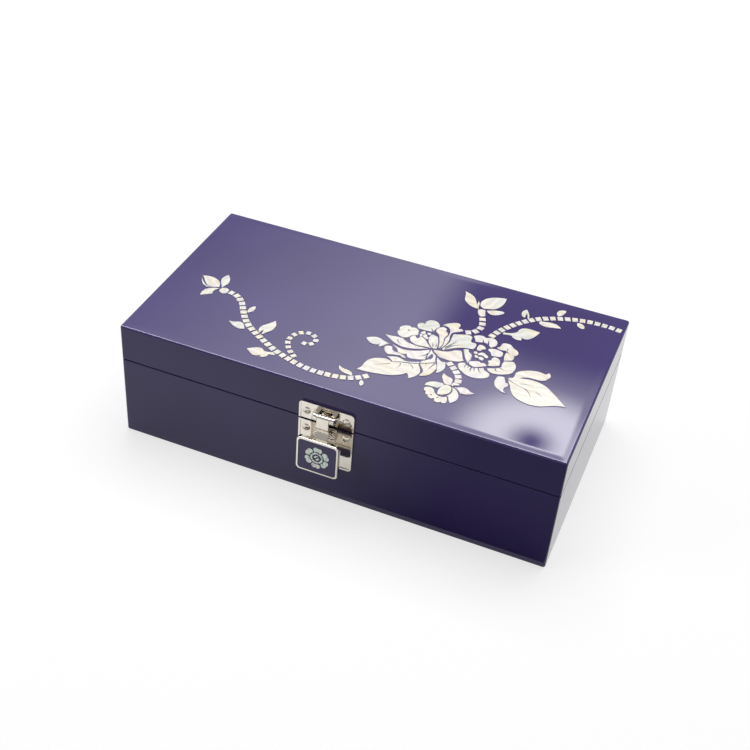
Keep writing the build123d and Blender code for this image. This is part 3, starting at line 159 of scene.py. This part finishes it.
def makeLacquer(name):
    material, tree, shader, place = startMaterial(name, {
        "Roughness": lacquerSet["pigment"],
        "Specular IOR Level": 0,
        "Coat Weight": 1,
        "Coat Roughness": lacquerSet["haze"],
        "Coat IOR": lacquerSet["clearIor"],
    })
    cloud = addNode(tree, "ShaderNodeTexNoise", {
        "Scale": perMetre(lacquerSet["cloudSize"]), "Detail": 2, "Roughness": 0.4,
    }, {"Vector": place})
    colour = addNode(tree, "ShaderNodeValToRGB", {
        "stops": [(0.35, lacquerSet["cloud"]), (0.65, lacquerSet["colour"])],
    }, {"Fac": cloud})
    axes = addNode(tree, "ShaderNodeSeparateXYZ", links={"Vector": place})
    insides = []  # distances to the lid's ends and to its front and back, in metres
    for axis, half in (("X", cadBox[1].x), ("Y", -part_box("lid_top_panel")[0].y)):
        out = addNode(tree, "ShaderNodeMath", {"operation": "ABSOLUTE"}, {0: axes.outputs[axis]})
        insides.append(addNode(tree, "ShaderNodeMath", {"operation": "SUBTRACT", 0: half}, {1: out}))
    inside = addNode(tree, "ShaderNodeMath", {
        "operation": "SMOOTH_MIN", 2: lacquerSet["cornerBlend"] / 1000,
    }, {0: insides[0], 1: insides[1]})
    height = addNode(tree, "ShaderNodeMapRange", {  # in millimetres
        "interpolation_type": "SMOOTHSTEP",
        "From Max": lacquerSet["edgeWidth"] / 1000, "To Max": lacquerSet["edgeDepth"],
    }, {"Value": inside})
    for size, depth in (("peelSize", "peelDepth"), ("waveSize", "waveDepth")):
        noise = addNode(tree, "ShaderNodeTexNoise", {
            "Scale": perMetre(lacquerSet[size]), "Detail": 1, "Roughness": 0.3,
        }, {"Vector": place})
        height = addNode(tree, "ShaderNodeMath", {
            "operation": "MULTIPLY_ADD", 1: lacquerSet[depth],
        }, {0: noise, 2: height})
    relief = coverSurface(tree, shader, colour.outputs[0], height, 1)
    tree.links.new(relief, shader.inputs["Coat Normal"])
    return material


# Mother-of-pearl: shell cut and polished, creamy with pink and green lustre. Each chip comes from
# another shell, so it has a tint of its own and its bands run their own way
pearlSet = {
    "tints": [
        (0.0, "#f1f0e6"), (0.2, "#f2eddb"), (0.38, "#ece8e9"), (0.52, "#e4ece0"),
        (0.66, "#f3ebd0"), (0.82, "#f0eeef"), (1.0, "#edefdf"),
    ],
    "patchSize": 9,  # mm, as all sizes and depths here
    "patchShare": 0.75,  # how far the tint wanders within a chip
    "bandSize": 5.132,
    "bandShade": (0.84, 0.98),
    "bandDepth": 0.012,
    "grainSize": 0.7,
    "grainShade": (0.93, 1.03),
    "lustre": 420,  # nm
}


def makePearl(name):
    material, tree, shader, place = startMaterial(name, {
        "Roughness": 0.25,
        "Specular IOR Level": 0.3,
        "Coat Weight": 0.35,
        "Coat Roughness": 0.05,
        "Thin Film Thickness": pearlSet["lustre"],
        "Thin Film IOR": 1.42,
        "Subsurface Weight": 0.12,
        "Subsurface Radius": (0.0012, 0.001, 0.0008),
        "Subsurface Scale": 0.4,
    })
    chip = addNode(tree, "ShaderNodeNewGeometry").outputs["Random Per Island"]
    angle = addNode(tree, "ShaderNodeMath", {"operation": "MULTIPLY", 1: math.tau}, {0: chip})
    turned = addNode(tree, "ShaderNodeVectorRotate", {"rotation_type": "Z_AXIS"}, {
        "Vector": place, "Angle": angle,
    })
    patch = addNode(tree, "ShaderNodeTexNoise", {
        "Scale": perMetre(pearlSet["patchSize"]), "Detail": 3,
    }, {"Vector": turned})
    wander = addNode(tree, "ShaderNodeMath", {
        "operation": "MULTIPLY_ADD", 1: pearlSet["patchShare"],
    }, {0: patch, 2: chip})
    wrapped = addNode(tree, "ShaderNodeMath", {"operation": "FRACT"}, {0: wander})
    colour = addNode(tree, "ShaderNodeValToRGB", {"stops": pearlSet["tints"]}, {"Fac": wrapped}).outputs[0]
    bands = addNode(tree, "ShaderNodeTexWave", {
        "Scale": bandsPerMetre(pearlSet["bandSize"]), "Distortion": 5, "Detail": 3, "Detail Scale": 2.5,
    }, {"Vector": turned}).outputs["Fac"]
    grain = addNode(tree, "ShaderNodeTexNoise", {
        "Scale": perMetre(pearlSet["grainSize"]), "Detail": 3,
    }, {"Vector": turned})
    for pattern, low, high, shade in (
        (bands, 0, 1, pearlSet["bandShade"]), (grain, 0.3, 0.7, pearlSet["grainShade"]),
    ):
        tone = addNode(tree, "ShaderNodeMapRange", {
            "From Min": low, "From Max": high, "To Min": shade[0], "To Max": shade[1],
        }, {"Value": pattern})
        colour = addNode(tree, "ShaderNodeMix", {
            "data_type": "RGBA", "blend_type": "MULTIPLY", 0: 1,
        }, {6: colour, 7: tone}).outputs[2]
    coverSurface(tree, shader, colour, bands, pearlSet["bandDepth"])
    return material


# Abalone shell, polished: bright silvery bands of green, pink and sand over dark lacquer
abaloneSet = {
    "tints": [
        (0.3, "#f2e6ec"), (0.38, "#bfe6d2"), (0.46, "#f4f6ee"), (0.52, "#a9dcc6"),
        (0.58, "#f0cfdc"), (0.64, "#eef2e4"), (0.72, "#c9cfdc"),
    ],
    "patchSize": 3.0,  # mm, as all sizes and depths here
    "bandSize": 1.974,
    "bandShade": (0.72, 1.05),
    "bandDepth": 0.01,
    "lustre": 520,  # nm
}


def makeAbalone(name):
    material, tree, shader, place = startMaterial(name, {
        "Metallic": 0.6,  # its stacked plates mirror light
        "Roughness": 0.18,
        "Coat Weight": 0.6,
        "Coat Roughness": 0.04,
        "Thin Film Thickness": abaloneSet["lustre"],
        "Thin Film IOR": 1.45,
    })
    patch = addNode(tree, "ShaderNodeTexNoise", {
        "Scale": perMetre(abaloneSet["patchSize"]), "Detail": 4, "Distortion": 1.2,
    }, {"Vector": place})
    tint = addNode(tree, "ShaderNodeValToRGB", {"stops": abaloneSet["tints"]}, {"Fac": patch})
    bands = addNode(tree, "ShaderNodeTexWave", {
        "Scale": bandsPerMetre(abaloneSet["bandSize"]), "Distortion": 7, "Detail": 3, "Detail Scale": 1.6,
    }, {"Vector": place}).outputs["Fac"]
    shade = addNode(tree, "ShaderNodeMapRange", {
        "To Min": abaloneSet["bandShade"][0], "To Max": abaloneSet["bandShade"][1],
    }, {"Value": bands})
    colour = addNode(tree, "ShaderNodeMix", {
        "data_type": "RGBA", "blend_type": "MULTIPLY", 0: 1,
    }, {6: tint, 7: shade})
    coverSurface(tree, shader, colour.outputs[2], bands, abaloneSet["bandDepth"])
    return material


# Metals of the clasp and hinges: nickel plate over stamped steel is a warm mirror, slightly
# smudged, with fine rub marks. The hinges' plate is duller, and a drawn steel pin is greyer
metalSet = {
    "smudgeSize": 6,  # mm, as all sizes and depths here
    "smudgeGloss": (0.75, 1.35),  # shares of the roughness
    "rubSize": 0.12,  # real rub marks are finer, drawn as coarse as shows
    "rubStretch": (0.06, 1, 1),
    "rubTurn": (0, 0.5, 0),
    "clasp": {"colours": ("#e0dad0", "#eee8de"), "roughness": 0.07, "rubDepth": 0.0003},
    "hinge": {"colours": ("#bdb8b0", "#cfcac2"), "roughness": 0.22, "rubDepth": 0.001},
    "pin": {"colours": ("#aaa9a6", "#bdbcb8"), "roughness": 0.2, "rubDepth": 0.001},
}


def makeMetal(name, finish):
    material, tree, shader, place = startMaterial(name, {"Metallic": 1})
    smudge = addNode(tree, "ShaderNodeTexNoise", {
        "Scale": perMetre(metalSet["smudgeSize"]), "Detail": 4,
    }, {"Vector": place})
    colour = addNode(tree, "ShaderNodeValToRGB", {
        "stops": [(0.3, finish["colours"][0]), (0.7, finish["colours"][1])],
    }, {"Fac": smudge})
    gloss = addNode(tree, "ShaderNodeMapRange", {
        "From Min": 0.3, "From Max": 0.7,
        "To Min": finish["roughness"] * metalSet["smudgeGloss"][0],
        "To Max": finish["roughness"] * metalSet["smudgeGloss"][1],
    }, {"Value": smudge})
    tree.links.new(gloss.outputs[0], shader.inputs["Roughness"])
    stretch = addNode(tree, "ShaderNodeMapping", {
        "Scale": metalSet["rubStretch"], "Rotation": metalSet["rubTurn"],
    }, {"Vector": place})
    rubs = addNode(tree, "ShaderNodeTexNoise", {
        "Scale": perMetre(metalSet["rubSize"]), "Detail": 2,
    }, {"Vector": stretch})
    coverSurface(tree, shader, colour.outputs[0], rubs, finish["rubDepth"])
    return material


# Velvet glued on card: short dense pile, in brushed patches and with a pale rim of light
velvetSet = {
    "brushedSize": 22,  # mm, as all sizes and depths here
    "pileSize": 0.6,
    "pileShare": 0.45,
    "pileDepth": 0.12,
    "rim": "#fff6e2",
    "lining": ("#d8c39b", "#efdfbb"),
    "divider": ("#cfb98f", "#e8d6b0"),
}


def makeVelvet(name, colours):
    material, tree, shader, place = startMaterial(name, {
        "Roughness": 0.95,
        "Specular IOR Level": 0.15,
        "Sheen Weight": 0.6,
        "Sheen Roughness": 0.35,
        "Sheen Tint": hexColour(velvetSet["rim"]),
    })
    brushed = addNode(tree, "ShaderNodeTexNoise", {
        "Scale": perMetre(velvetSet["brushedSize"]), "Detail": 3, "Distortion": 0.8,
    }, {"Vector": place})
    pile = addNode(tree, "ShaderNodeTexNoise", {
        "Scale": perMetre(velvetSet["pileSize"]), "Detail": 3, "Roughness": 0.7,
    }, {"Vector": place})
    mixed = addNode(tree, "ShaderNodeMath", {
        "operation": "MULTIPLY_ADD", 1: velvetSet["pileShare"],
    }, {0: pile, 2: brushed})
    colour = addNode(tree, "ShaderNodeValToRGB", {
        "stops": [(0.5, colours[0]), (0.95, colours[1])],
    }, {"Fac": mixed})
    coverSurface(tree, shader, colour.outputs[0], pile, velvetSet["pileDepth"])
    return material


# The plainer materials: the surface's own settings, a noise pattern, two colours and a relief
plainSet = {
    # Wool felt, pressed: dull and dark, with short fibres lying every way
    "wool_felt_pressed": {
        "surface": {
            "Roughness": 1, "Specular IOR Level": 0.1, "Sheen Weight": 0.4, "Sheen Roughness": 0.5,
        },
        "grain": 0.9,  # mm, as all sizes and depths here
        "pattern": {"Detail": 5, "Distortion": 2.5},
        "colours": ("#1b1528", "#31284a"),
        "depth": 0.2,
    },
    # Fibreboard, sawn and sealed: mottled brown, seen only past the felt's edge
    "fibreboard_sealed": {
        "surface": {"Roughness": 0.7},
        "grain": 0.8,
        "pattern": {"Detail": 4},
        "colours": ("#8a6a4a", "#a98862"),
        "depth": 0.05,
    },
    # Lacquered chip set into the drop plate: even colour under a sharp gloss
    "dark_lacquer_chip": {
        "surface": {
            "Roughness": 0.3, "Specular IOR Level": 0, "Coat Weight": 1, "Coat Roughness": 0.04,
        },
        "grain": 5,
        "pattern": {"Detail": 2},
        "colours": ("#382b6c", "#413278"),
        "depth": 0.01,
    },
}


def makePlain(name):
    plain = plainSet[name]
    material, tree, shader, place = startMaterial(name, plain["surface"])
    grain = addNode(tree, "ShaderNodeTexNoise", {
        "Scale": perMetre(plain["grain"]), **plain["pattern"],
    }, {"Vector": place})
    colour = addNode(tree, "ShaderNodeValToRGB", {
        "stops": [(0.3, plain["colours"][0]), (0.7, plain["colours"][1])],
    }, {"Fac": grain})
    coverSurface(tree, shader, colour.outputs[0], grain, plain["depth"])
    return material


finishes = {  # by the record's material slots
    "purple_lacquer": makeLacquer("purple_polyester_lacquer_buffed"),
    "mother_of_pearl": makePearl("mother_of_pearl_polished"),
    "abalone": makeAbalone("abalone_shell_polished"),
    "polished_nickel": makeMetal("nickel_plate_buffed", metalSet["clasp"]),
    "hinge_steel": makeMetal("nickel_plate_satin", metalSet["hinge"]),
    "velvet": makeVelvet("champagne_velvet_pile", velvetSet["lining"]),
    "divider_velvet": makeVelvet("champagne_velvet_wrapped_card", velvetSet["divider"]),
    "base_felt": makePlain("wool_felt_pressed"),
    "bottom_board": makePlain("fibreboard_sealed"),
    "inset_lacquer": makePlain("dark_lacquer_chip"),
}
pinSteel = makeMetal("steel_pin_drawn", metalSet["pin"])
print("materials made")

slots = {part["node"]: part["material_slot"] for part in frame["record"]["subparts"]}
bodyOf = {}
for body, members in frame["record"]["behaviour"]["bodies"].items():
    for node in members:
        bodyOf[node] = body


def wear(piece, material):
    if not piece.material_slots:
        piece.data.materials.append(material)
    for place in piece.material_slots:
        place.material = material


hingePins = ("hinge_left_pin", "hinge_right_pin")
for name, node in nodes.items():
    wear(node, pinSteel if name in hingePins else finishes[slots[name]])
print("nodes dressed")


def selectOnly(piece):
    bpy.ops.object.select_all(action="DESELECT")
    piece.select_set(True)
    bpy.context.view_layer.objects.active = piece


def standIn(piece, node):  # a finished piece takes a node's place, body and material slot
    wear(piece, finishes[slots[node]])
    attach(piece, bodyOf[node])
    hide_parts(node)


copySet = {"join": 0.000002, "flat": 1, "smooth": 35}  # metres, then degrees


def mergedCopy(node, name):
    piece = bpy.data.objects.new(name, nodes[node].data.copy())
    scene.collection.objects.link(piece)
    selectOnly(piece)
    bpy.ops.object.mode_set(mode="EDIT")
    bpy.ops.mesh.select_all(action="SELECT")
    bpy.ops.mesh.remove_doubles(threshold=copySet["join"])
    bpy.ops.mesh.dissolve_limited(angle_limit=math.radians(copySet["flat"]))
    bpy.ops.mesh.select_all(action="DESELECT")
    bpy.ops.object.mode_set(mode="OBJECT")
    if piece.data.has_custom_normals:
        bpy.ops.mesh.customdata_custom_splitnormals_clear()
    return piece


def roundEdges(piece, edges):
    selectOnly(piece)
    bevel = piece.modifiers.new("edges", "BEVEL")
    bevel.width = edges["width"]
    bevel.segments = edges["segments"]
    bevel.limit_method = "ANGLE"
    bevel.angle_limit = math.radians(edges["angle"])
    bpy.ops.object.modifier_apply(modifier=bevel.name)
    bpy.ops.object.shade_smooth_by_angle(angle=math.radians(copySet["smooth"]))


# Shell pieces with rubbed edges, each chip joined up so that it takes a tint of its own
chipEdges = {"width": 0.00005, "segments": 1, "angle": 60}  # metres and degrees, as below
for name in sorted(nodes):
    if name.startswith("inlay_") or name == "drop_plate_emblem":
        chip = mergedCopy(name, name.replace("inlay_", "shell_"))
        roundEdges(chip, chipEdges)
        standIn(chip, name)
print("shell pieces made")

# Velvet-wrapped strips, floor and dividers, with the soft edge of folded cloth
wrapEdges = {"width": 0.0006, "segments": 3, "angle": 40}
for name in sorted(nodes):
    if "lining" in name or name.startswith("divider_"):
        strip = mergedCopy(name, name + "_wrapped")
        roundEdges(strip, wrapEdges)
        standIn(strip, name)
feltEdges = {"width": 0.0003, "segments": 2, "angle": 40}
sheet = mergedCopy("base_felt_sheet", "base_felt")
roundEdges(sheet, feltEdges)
standIn(sheet, "base_felt_sheet")
print("linings wrapped")

# Padded velvet under the lid: foam in a velvet cover, blown up against the lid
padSet = {
    "inset": 0.0012,  # metres, as all sizes here
    "start": 0.0032,
    "bevel": 0.0014,
    "bevelSegments": 3,
    "voxel": 0.0016,
    "pressure": 4,
    "quality": 4,
    "frames": 20,
    "cap": 0.0022,
    "back": 0.001,  # what lies this near to the lid stays flat
    "crown": 0.0012,
    "crownReach": 0.03,
    "evenings": 4,
}


def makePad():
    low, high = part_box("lid_pad")
    inner = padSet["inset"]
    size = Vector((high.x - low.x - 2 * inner, high.y - low.y - 2 * inner, padSet["start"]))
    middle = Vector(((low.x + high.x) / 2, (low.y + high.y) / 2, high.z - padSet["start"] / 2))
    bpy.ops.object.select_all(action="DESELECT")
    bpy.ops.mesh.primitive_cube_add(size=1, location=middle, scale=size)
    pad = bpy.context.object
    pad.name = "lid_pad_padded"
    bpy.ops.object.transform_apply(location=True, rotation=True, scale=True)
    bpy.ops.object.mode_set(mode="EDIT")
    bpy.ops.mesh.select_all(action="SELECT")
    bpy.ops.mesh.bevel(offset=padSet["bevel"], segments=padSet["bevelSegments"], affect="EDGES")
    bpy.ops.object.mode_set(mode="OBJECT")
    remesh = pad.modifiers.new("cloth grid", "REMESH")
    remesh.mode = "VOXEL"
    remesh.voxel_size = padSet["voxel"]
    bpy.ops.object.modifier_apply(modifier=remesh.name)
    rest = [v.co.copy() for v in pad.data.vertices]
    cloth = pad.modifiers.new("cover", "CLOTH")
    cloth.settings.use_pressure = True
    cloth.settings.uniform_pressure_force = padSet["pressure"]
    cloth.settings.effector_weights.gravity = 0
    cloth.settings.quality = padSet["quality"]
    cloth.point_cache.frame_end = padSet["frames"]
    for step in range(1, padSet["frames"] + 1):
        scene.frame_set(step)
    bpy.ops.object.modifier_apply(modifier=cloth.name)
    scene.frame_set(1)
    for vertex, start in zip(pad.data.vertices, rest):
        move = vertex.co - start
        if move.length > padSet["cap"]:
            move *= padSet["cap"] / move.length
        vertex.co = start + move
        vertex.co.z = min(vertex.co.z, high.z)
        vertex.co.x = max(min(vertex.co.x, high.x), low.x)
        vertex.co.y = max(min(vertex.co.y, high.y), low.y)
        toSide = min(vertex.co.x - low.x, high.x - vertex.co.x)
        toFront = min(vertex.co.y - low.y, high.y - vertex.co.y)
        if vertex.co.z < high.z - padSet["back"]:  # fuller towards the middle
            rise = min(1, min(toSide, toFront) / padSet["crownReach"]) ** 0.5
            vertex.co.z -= padSet["crown"] * rise
    even = pad.modifiers.new("even", "SMOOTH")
    even.factor = 0.5
    even.iterations = padSet["evenings"]
    bpy.ops.object.modifier_apply(modifier=even.name)
    bpy.ops.object.shade_smooth()
    standIn(pad, "lid_pad")


makePad()
print("pad made")

# Pale matte paper floor. Its own white shows to the camera and in gloss, and it keeps the shadow. In front
# of the case, gloss sees painted shade on it, darker to the right
floorSet = {
    "size": 6,
    "drop": 0.0003,  # under the case, so that the felt doesn't flicker
    "colours": ("#9c9c9c", "#a2a2a2"),
    "fibre": 1.5,  # mm
    "white": 0.7,
    "far": (0.5, 1.8, 0.96),  # between these distances the paper brightens to this, as lamps fall off
    "paintedShadeFront": -0.072,  # before this line gloss sees painted shade on the paper, like a grey card lying there
    "paintedShadeFade": (-0.04, 0.07),  # where the painted shade turns dark, to the right
    "paintedShadeLight": (0.92, 0.0),
}


def makePaper(name):
    material, tree, shader, place = startMaterial(name, {
        "Roughness": 0.9, "Specular IOR Level": 0, "Emission Color": (1, 1, 1, 1),
    })
    pulp = addNode(tree, "ShaderNodeTexNoise", {
        "Scale": perMetre(floorSet["fibre"]), "Detail": 3,
    }, {"Vector": place})
    colour = addNode(tree, "ShaderNodeValToRGB", {
        "stops": [(0.3, floorSet["colours"][0]), (0.7, floorSet["colours"][1])],
    }, {"Fac": pulp})
    tree.links.new(colour.outputs[0], shader.inputs["Base Color"])

    axes = addNode(tree, "ShaderNodeSeparateXYZ", links={"Vector": place})
    # Painted shade: in front of the case the paper looks darker to gloss, more so to the right, so that the
    # case's front reflects it darker
    card = addNode(tree, "ShaderNodeMapRange", {
        "interpolation_type": "SMOOTHSTEP",
        "From Min": floorSet["paintedShadeFade"][0], "From Max": floorSet["paintedShadeFade"][1],
        "To Min": floorSet["paintedShadeLight"][0], "To Max": floorSet["paintedShadeLight"][1],
    }, {"Value": axes.outputs["X"]})
    behind = addNode(tree, "ShaderNodeMath", {
        "operation": "GREATER_THAN", 1: floorSet["paintedShadeFront"],
    }, {0: axes.outputs["Y"]})
    light = addNode(tree, "ShaderNodeMath", {"operation": "MAXIMUM"}, {0: card, 1: behind})

    rays = addNode(tree, "ShaderNodeLightPath").outputs
    seen = addNode(tree, "ShaderNodeMath", {"operation": "MULTIPLY"}, {0: rays["Is Glossy Ray"], 1: light})
    for ray in ("Is Camera Ray", "Is Transmission Ray"):
        seen = addNode(tree, "ShaderNodeMath", {"operation": "MAXIMUM"}, {0: seen, 1: rays[ray]})
    outward = addNode(tree, "ShaderNodeVectorMath", {"operation": "LENGTH"}, {0: place})
    strength = addNode(tree, "ShaderNodeMapRange", {
        "From Min": floorSet["far"][0], "From Max": floorSet["far"][1],
        "To Min": floorSet["white"], "To Max": floorSet["far"][2],
    }, {"Value": outward.outputs["Value"]})
    white = addNode(tree, "ShaderNodeMath", {"operation": "MULTIPLY"}, {0: seen, 1: strength})
    tree.links.new(white.outputs[0], shader.inputs["Emission Strength"])
    return material


bpy.ops.object.select_all(action="DESELECT")
bpy.ops.mesh.primitive_plane_add(size=floorSet["size"], location=(0, 0, -floorSet["drop"]))
floor = bpy.context.object
floor.name = "floor"
wear(floor, makePaper("white_paper_matte"))

# Studio: a plain pale room for diffuse light. Gloss sees a ceiling of soft panels and one round
# dish lamp. Places on the ceiling are in ceiling heights, to the right of and behind the case
studioSet = {
    "room": 0.12,
    "horizon": 0.03,  # sine of the height where the ceiling ends
    "slopes": {  # axis on the ceiling, from, to, light at these two places
        "sweep": ("X", -0.74, -0.43, 1.15, 2.9),
        "depth": ("Y", 1.46, 1.16, 0.85, 1.25),
    },
    "edges": {  # the same, with soft ends
        "gapSide": ("X", -0.41, -0.34, 0, 1),
        "gapBack": ("Y", 1.25, 1.36, 0, 1),
        "cameraSide": ("Y", -0.1, 0.35, 0.03, 1),
        "rightSide": ("X", 0.7, 0.3, 0.1, 1),
        "overhead": ("Y", 0.95, 0.7, 0, 9),
    },
    "gap": 0.68,
    "dish": {"place": (-0.18, 1.162, 0), "edge": (0.125, 0.06), "light": (0, 8)},
    "deflector": {"place": (-0.188, 1.166, 0), "edge": (0.0, 0.044), "light": (0.03, 1)},
    "walls": (0.5, 0.34, 0.9),  # sines of the heights where the walls end and are full, their light
}


def lightStudio(tree):
    tree.nodes.clear()
    view = addNode(tree, "ShaderNodeTexCoord").outputs["Generated"]
    axes = addNode(tree, "ShaderNodeSeparateXYZ", links={"Vector": view}).outputs
    up = addNode(tree, "ShaderNodeMath", {"operation": "MAXIMUM", 1: studioSet["horizon"]}, {0: axes["Z"]})
    ceiling = {
        axis: addNode(tree, "ShaderNodeMath", {"operation": "DIVIDE"}, {0: axes[axis], 1: up})
        for axis in ("X", "Y")
    }
    lights = {}
    for group, easing in (("slopes", "LINEAR"), ("edges", "SMOOTHSTEP")):
        for name, (axis, start, end, low, high) in studioSet[group].items():
            lights[name] = addNode(tree, "ShaderNodeMapRange", {
                "interpolation_type": easing,
                "From Min": start, "From Max": end, "To Min": low, "To Max": high,
            }, {"Value": ceiling[axis]})
    spot = addNode(tree, "ShaderNodeCombineXYZ", links=ceiling)
    for name in ("dish", "deflector"):  # round, and the deflector is the dish's dark middle
        lamp = studioSet[name]
        away = addNode(tree, "ShaderNodeVectorMath", {"operation": "DISTANCE", 1: lamp["place"]}, {0: spot})
        lights[name] = addNode(tree, "ShaderNodeMapRange", {
            "interpolation_type": "SMOOTHSTEP",
            "From Min": lamp["edge"][0], "From Max": lamp["edge"][1],
            "To Min": lamp["light"][0], "To Max": lamp["light"][1],
        }, {"Value": away.outputs["Value"]})

    panels = addNode(tree, "ShaderNodeMath", {"operation": "MULTIPLY"}, {
        0: lights["sweep"], 1: lights["depth"],
    })
    gap = addNode(tree, "ShaderNodeMath", {"operation": "MULTIPLY"}, {
        0: lights["gapSide"], 1: lights["gapBack"],
    })
    gloss = addNode(tree, "ShaderNodeMix", {"data_type": "FLOAT", 3: studioSet["gap"]}, {0: gap, 2: panels})
    for operation, name in (
        ("ADD", "dish"), ("ADD", "overhead"),
        ("MULTIPLY", "deflector"), ("MULTIPLY", "cameraSide"), ("MULTIPLY", "rightSide"),
    ):
        gloss = addNode(tree, "ShaderNodeMath", {"operation": operation}, {0: gloss, 1: lights[name]})
    walls = addNode(tree, "ShaderNodeMapRange", {
        "interpolation_type": "SMOOTHSTEP", "To Max": studioSet["walls"][2],
        "From Min": studioSet["walls"][0], "From Max": studioSet["walls"][1],
    }, {"Value": axes["Z"]})
    gloss = addNode(tree, "ShaderNodeMath", {"operation": "MAXIMUM"}, {0: gloss, 1: walls})

    rays = addNode(tree, "ShaderNodeLightPath").outputs
    level = addNode(tree, "ShaderNodeMix", {"data_type": "FLOAT", 2: studioSet["room"]}, {
        0: rays["Is Glossy Ray"], 3: gloss,
    })
    seen = addNode(tree, "ShaderNodeMath", {"operation": "MAXIMUM"}, {
        0: rays["Is Camera Ray"], 1: rays["Is Transmission Ray"],
    })
    shown = addNode(tree, "ShaderNodeMix", {"data_type": "FLOAT", 3: 1}, {0: seen, 2: level})
    sky = addNode(tree, "ShaderNodeBackground", {"Color": (1, 1, 1, 1)}, {"Strength": shown})
    addNode(tree, "ShaderNodeOutputWorld", links={"Surface": sky})


world = bpy.data.worlds.new("studio")
scene.world = world
world.use_nodes = True
lightStudio(world.node_tree)

lamps = {
    "softbox_top": {"place": (0.0, 0.35, 1.3), "aim": (0, 0, 0), "size": (1.3, 0.9), "watts": 16.5},
    "softbox_left": {"place": (-0.85, -0.6, 0.6), "aim": (0, 0, 0.03), "size": (0.5, 0.5), "watts": 2.4},
}
for name, lamp in lamps.items():
    data = bpy.data.lights.new(name, "AREA")
    data.shape = "RECTANGLE"
    data.size, data.size_y = lamp["size"]
    data.energy = lamp["watts"]
    light = bpy.data.objects.new(name, data)
    scene.collection.objects.link(light)
    aim = Vector(lamp["aim"]) - Vector(lamp["place"])
    light.location = lamp["place"]
    light.rotation_euler = aim.to_track_quat("-Z", "Y").to_euler()
    light.visible_glossy = False  # gloss shows the ceiling's panels instead
print("stage and lamps set")

bpy.ops.object.select_all(action="DESELECT")
